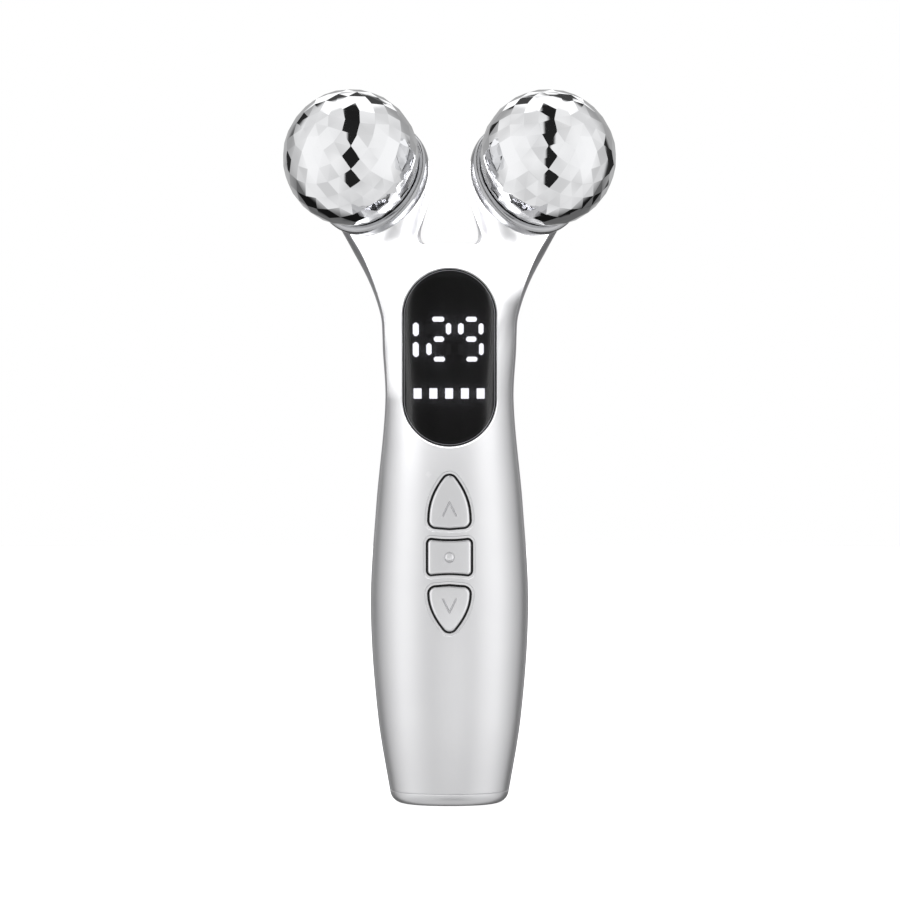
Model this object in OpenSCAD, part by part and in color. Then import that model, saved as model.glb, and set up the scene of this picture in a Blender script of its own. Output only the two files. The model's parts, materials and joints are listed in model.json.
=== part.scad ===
// Two-ball facial toning device. A waisted handle forks into two arms. Each arm ends in a
// smooth cup, and a faceted ball spins in front of it on a fixed steel axle. The front of the
// handle holds a smoked display and three keys, and the base holds a charging socket.
// Millimetres. The origin is the middle of the flat base, +Z runs up the handle and the
// front faces -Y. Pieces of one arm are built on the +X side and mirrored for the other.

/* [Handle] */
// Width across the base
base_w = 26.4; // [25:0.2:29]
// Depth of the base from front to back
base_d = 20.6; // [20:0.2:24]
// Height of the section where the grip starts to fill out
lower_z = 20; // [17:1:23]
// Width there
lower_w = 32.9; // [31.5:0.1:34.5]
// Depth there
lower_d = 25.2; // [24.4:0.2:27]
// Height of the widest section
belly_z = 45; // [42:1:48]
// Width there
belly_w = 36.2; // [35:0.2:39]
// Depth there
belly_d = 28; // [27.4:0.2:30]
// Height of the section where the grip narrows
grip_z = 68; // [65:1:71]
// Width there
grip_w = 33.7; // [32.5:0.1:35.5]
// Depth there
grip_d = 26; // [25.4:0.2:28]
// Height of the narrowest section
neck_z = 92; // [89:1:95]
// Width there
neck_w = 29.5; // [28.9:0.1:31.5]
// Depth there
neck_d = 21.6; // [21.2:0.2:23.6]
// Height of the section where the fork starts to open
fork_z = 107; // [105:1:110]
// Width there
fork_w = 31; // [30:0.1:33]
// Depth there
fork_d = 20.8; // [20.4:0.2:22.4]
// Height of the saddle between the arms
saddle_z = 127.6; // [127:0.2:130]
// Width of the handle between the arms, below the saddle's rounding
head_w = 30.8; // [29.8:0.2:32]
// Depth there
head_d = 20.6; // [20.2:0.2:22]
// Radius of the saddle's front and back edges
saddle_r = 5.2; // [4.6:0.2:5.8]
// How far the sides are drawn in over that rounding
saddle_draw = 10; // [9:0.5:11]
// Squareness of every section, where 2 is an ellipse
squareness = 2.3; // [2.1:0.05:2.5]
// Wall of both shells
wall = 1.8; // [1.6:0.1:2]
// Place of the seam between the shells, in front of the middle plane
seam_fwd = 3.5; // [3.2:0.1:3.9]

/* [Arms] */
// Half width of the arm inside the handle
arm_root_r = 7.2; // [6.9:0.1:7.4]
// Distance of its centre from the middle there
arm_root_x = 7.6; // [7.2:0.1:7.8]
// Height there
arm_root_z = 106; // [105:0.5:107]
// Distance from the middle of the point that the arm bends round
arm_bend_x = 8.6; // [8.2:0.1:9]
// Height of that point
arm_bend_z = 118; // [117:0.5:119]
// Half width of the arm where its end begins
arm_mid_r = 7.6; // [7.3:0.1:7.9]
// Distance of its centre from the middle there
arm_mid_x = 15; // [14.6:0.1:15.3]
// Height there
arm_mid_z = 129; // [128:0.5:130]
// Half depth of the arm inside the handle
arm_root_d = 9.6; // [9.2:0.1:9.8]
// Half depth of the arm where its end begins
arm_mid_d = 9.1; // [8.8:0.1:9.3]
// How far the arm leans back where its end begins
arm_lean = 1.8; // [1.6:0.1:2.4]
// Radius of the arm's round end, where the cup sits
arm_end_r = 12.8; // [12.6:0.1:13]
// Depth of the dome behind that end
arm_dome = 9; // [8.6:0.1:9.8]

/* [Balls] */
// Diameter of a ball over its corners
ball_d = 30.8; // [29.6:0.2:31.2]
// Distance of a ball's centre from the middle
ball_x = 22.2; // [22:0.1:22.8]
// Distance of a ball's centre in front of the middle plane
ball_fwd = 11.5; // [11:0.1:12.5]
// Height of a ball's centre
ball_z = 146.7; // [146:0.1:148]
// Turn of the ball's axis out to its side, in degrees
ball_toe = 32; // [30:1:34]
// Rise of the ball's tip above the level, in degrees
ball_rise = 24; // [22:1:26]
// Facets round the ball's widest ring
facets = 32; // [24:2:36]
// Wall of the plated skin
skin_wall = 1.6; // [1.2:0.1:2]
// Distance of the ball's flat rear face behind its centre
ball_rear = 9.6; // [9.4:0.1:9.8]
// Diameter of the axle
axle_d = 4; // [3.6:0.1:4.4]
// Radial running clearance of the bushes on the axle
axle_play = 0.04; // [0.02:0.01:0.08]
// Outer diameter of the bushes
bush_d = 8; // [7.4:0.1:8.6]
// Length of one bush
bush_len = 6; // [5:0.2:6.6]
// Gap between the ball's rear face and the cup
cup_gap = 0.5; // [0.4:0.05:0.7]
// Largest radius of the cup, at its rim
cup_r = 14; // [13.8:0.1:14.4]
// Distance of the cup's back face behind the ball's centre
cup_back = 12.4; // [12.2:0.1:12.8]

/* [Display] */
// Width of the smoked lens
lens_w = 21.3; // [20.5:0.1:21.7]
// Height of the lens
lens_h = 40.2; // [39:0.2:41]
// Distance of the lens's middle below the saddle
lens_drop = 25.9; // [25.2:0.1:26.6]
// Thickness of the lens
lens_t = 1.1; // [0.9:0.05:1.2]
// Gap round the lens
lens_gap = 0.15; // [0.1:0.05:0.25]
// Width of the ledge that carries the lens
lens_ledge = 1.2; // [0.9:0.1:1.4]
// Height of one digit
digit_h = 9.9; // [9.2:0.1:10.4]
// Width of one digit
digit_w = 5.6; // [5.2:0.1:5.8]
// Pitch of the digits
digit_pitch = 7.2; // [7:0.1:7.4]
// Height of the digits' middle above the lens's middle
digit_up = 4.2; // [3.8:0.1:4.8]
// Width of one bar of a digit
bar_w = 1.2; // [1:0.05:1.3]
// Number of level squares
level_n = 5; // [3:1:5]
// Width of one level square
level_w = 1.8; // [1.5:0.1:2.1]
// Height of one level square
level_h = 2.3; // [2:0.1:2.6]
// Pitch of the level squares
level_pitch = 3.58; // [3.4:0.02:3.66]
// Distance of the level squares' middle below the lens's middle
level_down = 9.1; // [8.5:0.1:9.7]

/* [Keys] */
// Width of the up and down key holes
arrow_w = 10.1; // [9.6:0.1:10.4]
// Height of the up key hole
up_h = 12.8; // [12.2:0.1:13]
// Bottom of the up key hole
up_z = 62.7; // [62.4:0.1:63.2]
// Fullness of the up key's sides, where 1 is straight
up_bow = 2.2; // [1.2:0.1:2.6]
// Height of the down key hole
down_h = 11.2; // [10.8:0.1:11.6]
// Bottom of the down key hole
down_z = 39.5; // [39:0.1:39.9]
// Fullness of the down key's sides, where 1 is straight
down_bow = 1.9; // [1.2:0.1:2.4]
// Width of the middle key hole
mode_w = 10.7; // [10:0.1:11.2]
// Height of the middle key hole
mode_h = 8.8; // [8.4:0.1:9]
// Bottom of the middle key hole
mode_z = 52.3; // [52.1:0.1:52.4]
// Gap round each key
key_gap = 0.5; // [0.35:0.05:0.6]
// How far a key travels
key_travel = 0.5; // [0.4:0.05:0.6]
// How far the key tops stand proud of the handle
key_proud = 0.3; // [0.2:0.05:0.5]
// Width of the hidden flange that keeps a key in
flange = 0.9; // [0.8:0.05:1]
// Thickness of that flange
flange_t = 0.8; // [0.6:0.1:1]

/* [Base] */
// Height of the base cap's visible band
cap_h = 3; // [2.8:0.1:3.4]
// Radius of the cap's bottom edge
cap_r = 2.3; // [2:0.1:2.6]
// Wall of the plug
plug_wall = 1.4; // [1.2:0.1:1.6]
// Width of the charging socket's metal shell
socket_w = 8.9; // [8.7:0.1:9.1]
// Depth of the socket's shell from front to back
socket_d = 3.2; // [3:0.05:3.4]
// Height of the socket
socket_h = 6.8; // [6.4:0.1:7.2]
// Recess of the socket's mouth above the base
socket_up = 0.4; // [0.2:0.05:0.6]

/* [Inside] */
// Thickness of both circuit boards
board_t = 1.2; // [1:0.1:1.4]
// Width of the main board
board_w = 17.6; // [17:0.2:18]
// Depth of the main board's front face in front of the middle plane
board_fwd = 5; // [4.8:0.1:5.2]
// Bottom of the main board
board_z = 14; // [13:0.5:16]
// Distance of the main board's top below the saddle
board_drop = 8.2; // [8:0.2:9.4]
// Diameter of the battery
battery_d = 14; // [13:0.2:14.2]
// Length of the battery
battery_h = 43; // [40:1:44]
// Bottom of the battery
battery_z = 25; // [24:0.5:26]
// Width of a switch's square housing
switch_w = 6; // [5.6:0.1:6.2]
// Height of a switch's housing
switch_h = 3.4; // [3:0.1:3.6]
// Diameter of a switch's plunger
plunger_d = 3; // [2.6:0.1:3.4]
// How far the plunger stands out of its housing
plunger_out = 0.9; // [0.8:0.05:1.1]
// Diameter of the shell screws
screw_d = 2; // [1.8:0.1:2.2]
// Diameter of their heads
screw_head = 4; // [3.6:0.1:4.2]
// Distance of the lower screws from the middle
screw_x = 11.9; // [11.7:0.1:12]
// Height of the lower screws
screw_z = 30; // [29:0.5:33]
// Distance of the upper screws from the middle
screw_top_x = 11.2; // [11.1:0.1:11.3]
// Height of the upper screws
screw_top_z = 79; // [78:0.5:80]
// Diameter of a lead
lead_d = 1.2; // [1:0.1:1.3]

/* [Hidden] */

tiny = 0.01;
big = 400;
fit = 0.1; // clearance of pieces that are pushed together
seat = 0.05; // clearance of pieces that lie against each other
seat_trim = 0.4; // stock in front of the cup's seat before it is cut flat
ring_n = 48;
board_top = saddle_z - board_drop;
lens_z = saddle_z - lens_drop;
digit_z = lens_z + digit_up;
level_z = lens_z - level_down;
plug_top = socket_up + socket_h; // the plug's rim and the socket carry the charge board together

// Sections of the handle: height, half width and half depth.
stations = [
    [0, base_w / 2, base_d / 2],
    [lower_z, lower_w / 2, lower_d / 2],
    [belly_z, belly_w / 2, belly_d / 2],
    [grip_z, grip_w / 2, grip_d / 2],
    [neck_z, neck_w / 2, neck_d / 2],
    [fork_z, fork_w / 2, fork_d / 2],
    [saddle_z, head_w / 2, head_d / 2]
];

// A smooth curve through column c of the stations, read at height z.
function span(z, i = 0) = (i >= len(stations) - 2 || z < stations[i + 1][0]) ? i : span(z, i + 1);
function slope(i, c) =
    let (a = max(i - 1, 0), b = min(i + 1, len(stations) - 1))
    (stations[b][c] - stations[a][c]) / (stations[b][0] - stations[a][0]);
function along(z, c) =
    let (
        i = span(z),
        h = stations[i + 1][0] - stations[i][0],
        t = (z - stations[i][0]) / h,
        m0 = slope(i, c) * h,
        m1 = slope(i + 1, c) * h
    )
    (2 * pow(t, 3) - 3 * t * t + 1) * stations[i][c] + (pow(t, 3) - 2 * t * t + t) * m0
    + (3 * t * t - 2 * pow(t, 3)) * stations[i + 1][c] + (pow(t, 3) - t * t) * m1;
function half_w(z) = along(z, 1);
function half_d(z) = along(z, 2);

// Depth of the handle's front surface at a place, moved in by inset.
function front(x, z, inset = 0) =
    (half_d(z) - inset) * pow(1 - pow(abs(x) / (half_w(z) - inset), squareness), 1 / squareness);

// One closed section at height z, its sides moved in by inset and its front and back by deep.
function section(z, inset, deep = undef) = [
    for (k = [0:ring_n - 1])
        let (c = cos(360 * k / ring_n), s = sin(360 * k / ring_n))
        [
            (half_w(z) - inset) * sign(c) * pow(abs(c), 2 / squareness),
            (half_d(z) - (is_undef(deep) ? inset : deep)) * sign(s) * pow(abs(s), 2 / squareness),
            z
        ]
];

// The solid between neighbouring rings, each ring a list of points.
module loft(rings) {
    for (i = [0:len(rings) - 2]) {
        points = concat(rings[i], rings[i + 1]);
        hull() polyhedron(points = points, faces = [[for (k = [0:len(points) - 1]) k]]);
    }
}

// The handle between two heights, moved in by inset.
module handle_band(z0, z1, inset, steps) {
    loft([for (i = [0:steps]) section(z0 + (z1 - z0) * i / steps, inset)]);
}

// The handle's rounded top at the saddle, moved in by inset.
module handle_top(z0, inset, steps) {
    top = saddle_z - inset;
    r = saddle_r - inset / 2;
    handle_band(z0, top - r, inset, steps);
    loft([
        for (a = [0:15:90])
            section(top - r + r * sin(a), inset + saddle_draw * (1 - cos(a)), inset + r * (1 - cos(a)))
    ]);
}

module mirrored(left) {
    if (left) mirror([1, 0, 0]) children();
    else children();
}

// The ball's frame: its origin is the ball's centre, and +Z runs back along the axle to the arm.
module ball_frame() {
    translate([ball_x, -ball_fwd, ball_z])
        rotate([0, 90 - ball_rise, ball_toe - 90])
            rotate([180, 0, 0])
                children();
}

// A disc or tube in the ball's frame.
module turned(z0, z1, r, bore = 0) {
    ball_frame() difference() {
        translate([0, 0, z0]) cylinder(h = z1 - z0, r = r, $fn = 64);
        if (bore > 0) translate([0, 0, z0 - 1]) cylinder(h = z1 - z0 + 2, r = bore, $fn = 64);
    }
}

// ---- Shells ----

// The dome behind the arm's round end. It starts a little in front of the cup's seat, which is
// cut flat afterwards.
module arm_dome(inset) {
    dome = arm_dome - (inset > 0 ? 2 * inset : 0);
    base_z = cup_back + (inset > 0 ? inset : -seat_trim);
    ball_frame() rotate_extrude($fn = 32) polygon(concat(
        [[0, base_z], [arm_end_r - inset, base_z]],
        [for (a = [5:17:90]) [(arm_end_r - inset) * pow(cos(a), 0.7), cup_back + inset + dome * sin(a)]]
    ));
}

// Centre of the arm at a share t of the way from the handle to its end.
function arm_at(t) =
    pow(1 - t, 2) * [arm_root_x, 0, arm_root_z]
    + 2 * t * (1 - t) * [arm_bend_x, 0, arm_bend_z]
    + t * t * [arm_mid_x, arm_lean, arm_mid_z];

// The rounded form of the arm there, moved in by inset.
module arm_knuckle(t, inset) {
    r = arm_root_r + (arm_mid_r - arm_root_r) * t - inset;
    d = arm_root_d + (arm_mid_d - arm_root_d) * t - inset;
    translate(arm_at(t)) scale([1, d / r, 1]) sphere(r = r, $fn = 32);
}

// One arm from inside the handle to the cup, moved in by inset.
module arm(inset, left) {
    parts = 4;
    mirrored(left) union() {
        for (i = [1:parts])
            hull() {
                arm_knuckle((i - 1) / parts, inset);
                arm_knuckle(i / parts, inset);
            }
        hull() {
            arm_knuckle(1, inset);
            arm_dome(inset);
        }
    }
}

module outer_form() {
    handle_top(cap_h, 0, 20);
    for (left = [false, true]) arm(0, left);
}

module inner_form() {
    handle_top(cap_h - tiny, wall, 14);
    for (left = [false, true]) arm(wall, left);
}

// The half of space in front of the seam, or behind it.
module half_space(front_side) {
    y0 = front_side ? -big / 2 - seam_fwd : -seam_fwd;
    translate([-big / 2, y0, cap_h]) cube([big, big / 2, big]);
}

module lens_outline(grow) {
    r = lens_w / 2 + grow;
    hull()
        for (s = [-1, 1])
            translate([0, lens_z + s * (lens_h - lens_w) / 2]) circle(r = r, $fn = 64);
}

// A prism through the front of the handle, from an outline in width and height.
module through_front(depth = big / 4) {
    rotate([90, 0, 0]) linear_extrude(height = depth) children();
}

screws = [
    [-screw_x, screw_z], [screw_x, screw_z],
    [-screw_top_x, screw_top_z], [screw_top_x, screw_top_z]
];
screw_seat = 6; // depth of clamped plastic behind the seam
screw_grip = 3.4; // length of thread in the front boss
boss_wall = 1;
boss_r = screw_d / 2 + seat + boss_wall;
sink_r = screw_head / 2 + 2 * fit;
head_t = 1.6;

// A rod along the depth, from y0 to y1, at one screw.
module screw_rod(at, y0, y1, r, n = 24) {
    translate([at[0], y0, at[1]]) rotate([-90, 0, 0]) cylinder(h = y1 - y0, r = r, $fn = n);
}

// Room for each cup: the flat seat at the arm's end and the hole for its neck.
module cup_holes() {
    for (left = [false, true])
        mirrored(left) {
            turned(0, cup_back, cup_r + fit);
            turned(cup_back - 1, cup_back + wall + 1, neck_r + fit);
        }
}

module front_shell() {
    color("silver") difference() {
        union() {
            difference() {
                intersection() {
                    outer_form();
                    half_space(true);
                }
                inner_form();
            }
            intersection() {
                outer_form();
                for (s = screws) screw_rod(s, -big / 4, -seam_fwd, boss_r);
            }
        }
        cup_holes();
        // The lens lies in a pocket, on a ledge round the window.
        difference() {
            through_front() lens_outline(lens_gap);
            handle_top(lens_z - lens_h, lens_t + seat + tiny, 16);
        }
        through_front() lens_outline(-lens_ledge);
        through_front() up_outline(0);
        through_front() mode_outline(0);
        through_front() down_outline(0);
        for (s = screws)
            screw_rod(s, -seam_fwd - screw_grip - 1, -seam_fwd + 1, screw_d / 2 + seat);
    }
}

module rear_shell() {
    color("darkgray") difference() {
        union() {
            difference() {
                intersection() {
                    outer_form();
                    half_space(false);
                }
                inner_form();
            }
            intersection() {
                outer_form();
                for (s = screws) screw_rod(s, -seam_fwd, big / 4, sink_r + boss_wall);
            }
        }
        cup_holes();
        for (s = screws) {
            screw_rod(s, -seam_fwd - 1, big / 4, screw_d / 2 + seat);
            screw_rod(s, -seam_fwd + screw_seat, big / 4, sink_r);
        }
    }
}

// The screws, each with a cross in its head.
module shell_screws() {
    seat_y = -seam_fwd + screw_seat;
    color("gainsboro") for (s = screws)
        difference() {
            union() {
                screw_rod(s, -seam_fwd - screw_grip, seat_y + seat, screw_d / 2, 32);
                screw_rod(s, seat_y, seat_y + head_t, screw_head / 2, 32);
            }
            for (a = [0, 90])
                translate([s[0], seat_y + head_t, s[1]])
                    rotate([0, a, 0]) cube([screw_head * 0.6, 1.4, 0.5], center = true);
        }
}

// ---- Base ----

cap_floor = 2.2;

module socket_outline(grow) {
    r = socket_d / 2 + grow;
    for (s = [-1, 1]) translate([s * (socket_w - socket_d) / 2, 0]) circle(r = r, $fn = 48);
    square([socket_w - socket_d, 2 * r], center = true);
}

module base_cap() {
    color("gainsboro") difference() {
        union() {
            loft(concat(
                [for (a = [90:-30:0]) section(cap_r * (1 - sin(a)), cap_r * (1 - cos(a)))],
                [section(cap_h, 0)]
            ));
            loft([for (z = [cap_h, plug_top]) section(z, wall + fit)]);
        }
        loft([for (z = [cap_floor, plug_top + 1]) section(z, wall + fit + plug_wall)]);
        translate([0, 0, -1]) linear_extrude(height = cap_floor + 2) socket_outline(fit);
    }
}

// The metal shell of the charging socket, with its tongue.
module charging_socket() {
    shell = 0.3;
    color("lightgray") translate([0, 0, socket_up]) {
        difference() {
            linear_extrude(height = socket_h) socket_outline(0);
            translate([0, 0, -1]) linear_extrude(height = socket_h + 0.2) socket_outline(-shell);
        }
        translate([-socket_w * 0.36, -0.35, 1]) cube([socket_w * 0.72, 0.7, socket_h - 1]);
    }
}

// The small level board that carries the socket, on the plug's rim.
module charge_board() {
    inset = wall + fit + plug_wall / 2;
    color("darkgreen") difference() {
        translate([0, 0, plug_top + seat])
            linear_extrude(height = board_t)
                polygon([for (p = section(plug_top, inset)) [p[0], p[1]]]);
        for (s = [-1, 1])
            translate([s * (base_w / 2 - wall - 3 * plug_wall), 0, 0])
                cylinder(h = big, d = board_t, $fn = 24);
    }
}

// ---- Display ----

module display_lens() {
    color([0.08, 0.08, 0.09]) intersection() {
        through_front() lens_outline(0);
        difference() {
            handle_top(lens_z - lens_h * 0.6, seat, 16);
            handle_top(lens_z - lens_h * 0.7, lens_t, 18);
        }
    }
}

reflector_w = 17.4;
reflector_h = 36.8;
// Distance of the reflector's front face from the middle plane, just behind the curved wall.
reflector_front = front(reflector_w / 2, board_top, wall) - 3 * seat;
pipe_in = 1.5; // depth to which the light pipes stand in the reflector
pipe_out = 8; // length of the rods that the pipes are cut from

// One bar of a digit, a long hexagon with pointed ends.
module bar(length, grow) {
    r = bar_w / 2 + grow;
    h = length / 2 + grow;
    polygon([[-h, 0], [-h + r, r], [h - r, r], [h, 0], [h - r, -r], [-h + r, -r]]);
}

// Places of a digit's bars: across, up and turn, as shares of its size.
bars = [[0, 1, 0], [0, 0, 0], [0, -1, 0], [-1, 0.5, 90], [1, 0.5, 90], [-1, -0.5, 90], [1, -0.5, 90]];
first_digit_bars = [4, 6]; // the leading digit is a bare one

module digit(places, grow) {
    across = (digit_w - bar_w) / 2;
    up = (digit_h - bar_w) / 2;
    for (p = places)
        translate([p[0] * across, p[1] * up])
            rotate(p[2]) bar(p[2] == 0 ? digit_w - 1.4 * bar_w : up - 0.3 * bar_w, grow);
}

// Outlines of every lit or dark segment.
module segment_outlines(grow) {
    middle_x = -0.55 * digit_w + 0.5 * bar_w;
    for (i = [-1:1])
        translate([middle_x + i * digit_pitch, digit_z])
            digit(i < 0 ? [for (b = first_digit_bars) bars[b]] : bars, grow);
    for (i = [0:level_n - 1])
        translate([(i - (level_n - 1) / 2) * level_pitch, level_z])
            square([level_w + 2 * grow, level_h + 2 * grow], center = true);
}

// The light pipes stand in the reflector and end just behind the lens.
module display_segments() {
    color("white") intersection() {
        translate([0, -reflector_front + pipe_in, 0]) through_front(pipe_out) segment_outlines(0);
        handle_top(lens_z - lens_h * 0.6, lens_t + 2 * seat, 14);
    }
}

module display_reflector() {
    color("whitesmoke") difference() {
        translate([-reflector_w / 2, -reflector_front, lens_z - reflector_h / 2])
            cube([reflector_w, reflector_front - board_fwd, reflector_h]);
        translate([0, -reflector_front + pipe_in + fit, 0]) through_front() segment_outlines(seat);
    }
}

// ---- Keys ----

// Rounded triangle whose sides bulge more for a greater bow. Its wide end is down, and grow
// widens it all round.
module arrow_outline(h, bow, grow) {
    corner_r = 2;
    bulge = 0.25;
    foot_x = arrow_w / 2 - corner_r;
    foot_z = corner_r + bulge;
    rise = h - corner_r - foot_z;
    hull() {
        for (u = [0, 0.3, 0.55, 0.75, 0.9, 1], s = [-1, 1])
            translate([s * foot_x * (1 - pow(u, bow)), foot_z + u * rise])
                circle(r = corner_r + grow, $fn = 32);
        translate([0, corner_r]) circle(r = corner_r + grow, $fn = 32);
    }
}

module up_outline(grow) {
    translate([0, up_z]) arrow_outline(up_h, up_bow, grow);
}

module down_outline(grow) {
    translate([0, down_z + down_h]) mirror([0, 1]) arrow_outline(down_h, down_bow, grow);
}

// Rounded rectangle whose top and bottom are drawn in a little.
module mode_outline(grow) {
    r = 1.4;
    dip = 0.3;
    bow = 30;
    translate([0, mode_z + mode_h / 2]) difference() {
        hull()
            for (x = [-1, 1], z = [-1, 1])
                translate([x * (mode_w / 2 - r), z * (mode_h / 2 - r)]) circle(r = r + grow, $fn = 32);
        for (z = [-1, 1])
            translate([0, z * (mode_h / 2 + grow + bow - dip)]) circle(r = bow, $fn = 128);
    }
}

// Heights halfway between neighbouring key holes, where the flanges are kept apart.
low_web = (down_z + down_h + mode_z) / 2;
high_web = (mode_z + mode_h + up_z) / 2;

// Keeps a flange's outline between two heights.
module kept_between(z0, z1) {
    intersection() {
        children();
        translate([-arrow_w, z0 + fit]) square([2 * arrow_w, z1 - z0 - 2 * fit]);
    }
}

key_steps = 7; // slices of the handle's curve along one key

// Depth of the housings' front faces in front of the middle plane.
switch_front = board_fwd + switch_h;

// A key: its cap follows the handle's front, its flange lies behind the wall, and its stem
// ends at the switch's plunger. The outline is child 0, and the outline of the flange child 1.
module key(z, h, name_z) {
    low = z - 2;
    high = z + h + 2;
    stem_from = half_d(name_z) - wall - flange_t - seat;
    union() {
        intersection() {
            through_front() children(0);
            difference() {
                handle_band(low, high, -key_proud, key_steps);
                handle_band(low - 1, high + 1, wall + 2 * seat, key_steps);
            }
        }
        intersection() {
            through_front() children(1);
            difference() {
                handle_band(low, high, wall + seat, key_steps);
                handle_band(low - 1, high + 1, wall + seat + flange_t, key_steps);
            }
        }
        translate([0, -stem_from - flange_t, name_z]) rotate([-90, 0, 0])
            cylinder(h = stem_from + flange_t - switch_front - plunger_out - seat, d = plunger_d, $fn = 32);
    }
}

up_mid = up_z + up_h * 0.38;
mode_mid = mode_z + mode_h / 2;
down_mid = down_z + down_h * 0.56;
groove = 0.25; // depth of the signs cut into the key tops
groove_w = 0.35;
icon_w = 2.8;
icon_h = 3;

// A shallow chevron for a key's top, with its point at height z, opening down or up.
module chevron(z, up) {
    rise = up ? -icon_h : icon_h;
    through_front() translate([0, z])
        for (s = [-1, 1])
            hull() {
                circle(d = groove_w, $fn = 16);
                translate([s * icon_w / 2, rise]) circle(d = groove_w, $fn = 16);
            }
}

// The handle's form up to the bottom of the grooves in a key's top.
module groove_floor(z) {
    handle_band(z - 4.3, z + 4.1, groove - key_proud, 6);
}

module up_key() {
    color("silver") difference() {
        key(up_z, up_h, up_mid) {
            up_outline(-key_gap);
            kept_between(high_web, up_z + 2 * up_h) up_outline(flange);
        }
        difference() {
            chevron(up_mid + icon_h / 2, true);
            groove_floor(up_mid);
        }
    }
}

module down_key() {
    color("silver") difference() {
        key(down_z, down_h, down_mid) {
            down_outline(-key_gap);
            kept_between(down_z - down_h, low_web) down_outline(flange);
        }
        difference() {
            chevron(down_mid - icon_h / 2, false);
            groove_floor(down_mid);
        }
    }
}

module mode_key() {
    color("silver") difference() {
        key(mode_z, mode_h, mode_mid) {
            mode_outline(-key_gap);
            kept_between(low_web, high_web) mode_outline(flange);
        }
        difference() {
            through_front() translate([0, mode_mid]) difference() {
                circle(r = 1.25, $fn = 32);
                circle(r = 0.85, $fn = 32);
            }
            groove_floor(mode_mid);
        }
    }
}

plunger_in = 1.2; // length of a plunger inside its housing

module plunger(z) {
    color("black") translate([0, -switch_front - plunger_out, z]) rotate([-90, 0, 0])
        cylinder(h = plunger_out + plunger_in, d = plunger_d, $fn = 48);
}

module up_plunger() {
    plunger(up_mid);
}

module mode_plunger() {
    plunger(mode_mid);
}

module down_plunger() {
    plunger(down_mid);
}

module switch_housings() {
    bore_deep = plunger_in + key_travel + 0.3;
    color("dimgray") for (z = [up_mid, mode_mid, down_mid])
        difference() {
            translate([-switch_w / 2, -switch_front, z - switch_w / 2]) cube([switch_w, switch_h, switch_w]);
            translate([0, -switch_front - 1, z]) rotate([-90, 0, 0])
                cylinder(h = bore_deep + 1, d = plunger_d + 2 * seat, $fn = 48);
        }
}

// ---- Electronics ----

module main_board() {
    hole_d = 2.2;
    color("darkgreen") difference() {
        translate([-board_w / 2, -board_fwd, board_z]) cube([board_w, board_t, board_top - board_z]);
        for (x = [-1, 1], z = [board_z + hole_d, board_top - hole_d])
            translate([x * (board_w / 2 - hole_d), -board_fwd - 1, z])
                rotate([-90, 0, 0]) cylinder(h = board_t + 2, d = hole_d, $fn = 24);
    }
}

// Chips, a coil and connectors on the board's back: across, height, width, length and thickness.
back_parts = [
    [0, 82, 7, 7, 1],
    [-5, 92, 4, 5, 1.2],
    [4, 93, 6, 6, 2.6],
    [0, 103, 9, 3, 2],
    [-5.5, 112, 4, 4, 2.4],
    [5.5, 112, 4, 4, 2.4],
    [0, 19, 6, 4, 2.6]
];

module board_parts() {
    back = -board_fwd + board_t;
    color("dimgray") for (p = back_parts)
        translate([p[0] - p[2] / 2, back, p[1] - p[3] / 2]) cube([p[2], p[4], p[3]]);
}

battery_r = battery_d / 2;
battery_y = -board_fwd + board_t + 1 + battery_r; // its trough leaves 1 mm behind the board

module battery() {
    button_r = 2.6;
    color("steelblue") translate([0, battery_y, battery_z]) {
        cylinder(h = battery_h - 1, r = battery_r, $fn = 64);
        translate([0, 0, battery_h - 1]) cylinder(h = 1, r = button_r, $fn = 48);
    }
}

holder_rim = 1.2;

// A trough with end walls against the board's back.
module battery_holder() {
    back = -board_fwd + board_t;
    color("black") difference() {
        translate([-battery_r - holder_rim, back, battery_z - holder_rim - seat])
            cube([battery_d + 2 * holder_rim, battery_r - 1, battery_h + 2 * holder_rim + 2 * seat]);
        translate([0, battery_y, battery_z - seat])
            cylinder(h = battery_h + 2 * seat, r = battery_r + seat, $fn = 64);
    }
}

// The foam strip between the battery and the rear shell.
module battery_pad() {
    y0 = battery_y + battery_r + seat;
    pad_w = 5;
    pad_z = belly_z;
    gap = front(pad_w / 2, pad_z - pad_w * 2, wall) - y0 - seat;
    color("dimgray") translate([-pad_w / 2, y0, pad_z - pad_w * 2]) cube([pad_w, gap, pad_w * 4]);
}

// A round lead through its points, with a ring of 8 at each.
function unit(v) = v / norm(v);
function lead_dir(p, i) = unit(p[min(i + 1, len(p) - 1)] - p[max(i - 1, 0)]);
module lead(p, d) {
    sides = 8;
    n = len(p);
    points = [
        for (i = [0:n - 1])
            let (t = lead_dir(p, i), u = unit(cross(t, [1, 0.2, 0])), v = cross(t, u))
            for (k = [0:sides - 1]) p[i] + d / 2 * (cos(360 * k / sides) * u + sin(360 * k / sides) * v)
    ];
    faces = concat(
        [[for (k = [0:sides - 1]) k]],
        [for (i = [0:n - 2], k = [0:sides - 1])
            let (a = i * sides, b = (k + 1) % sides) [a + k, a + sides + k, a + sides + b]],
        [for (i = [0:n - 2], k = [0:sides - 1])
            let (a = i * sides, b = (k + 1) % sides) [a + k, a + sides + b, a + b]],
        [[for (k = [sides - 1:-1:0]) (n - 1) * sides + k]]
    );
    polyhedron(points = points, faces = faces);
}

lead_y = -board_fwd + board_t + lead_d / 2 + seat; // middle of a lead that lies on the board's back

module battery_leads() {
    x = battery_d / 7;
    spread = lead_d / 6;
    rise = 2.5 * lead_d;
    over = battery_z + battery_h + holder_rim + 2 * seat;
    for (s = [-1, 1])
        color(s < 0 ? "red" : "black")
            lead([for (i = [0:2]) [s * (x + i * spread), lead_y, over + i * rise]], lead_d);
}

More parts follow.
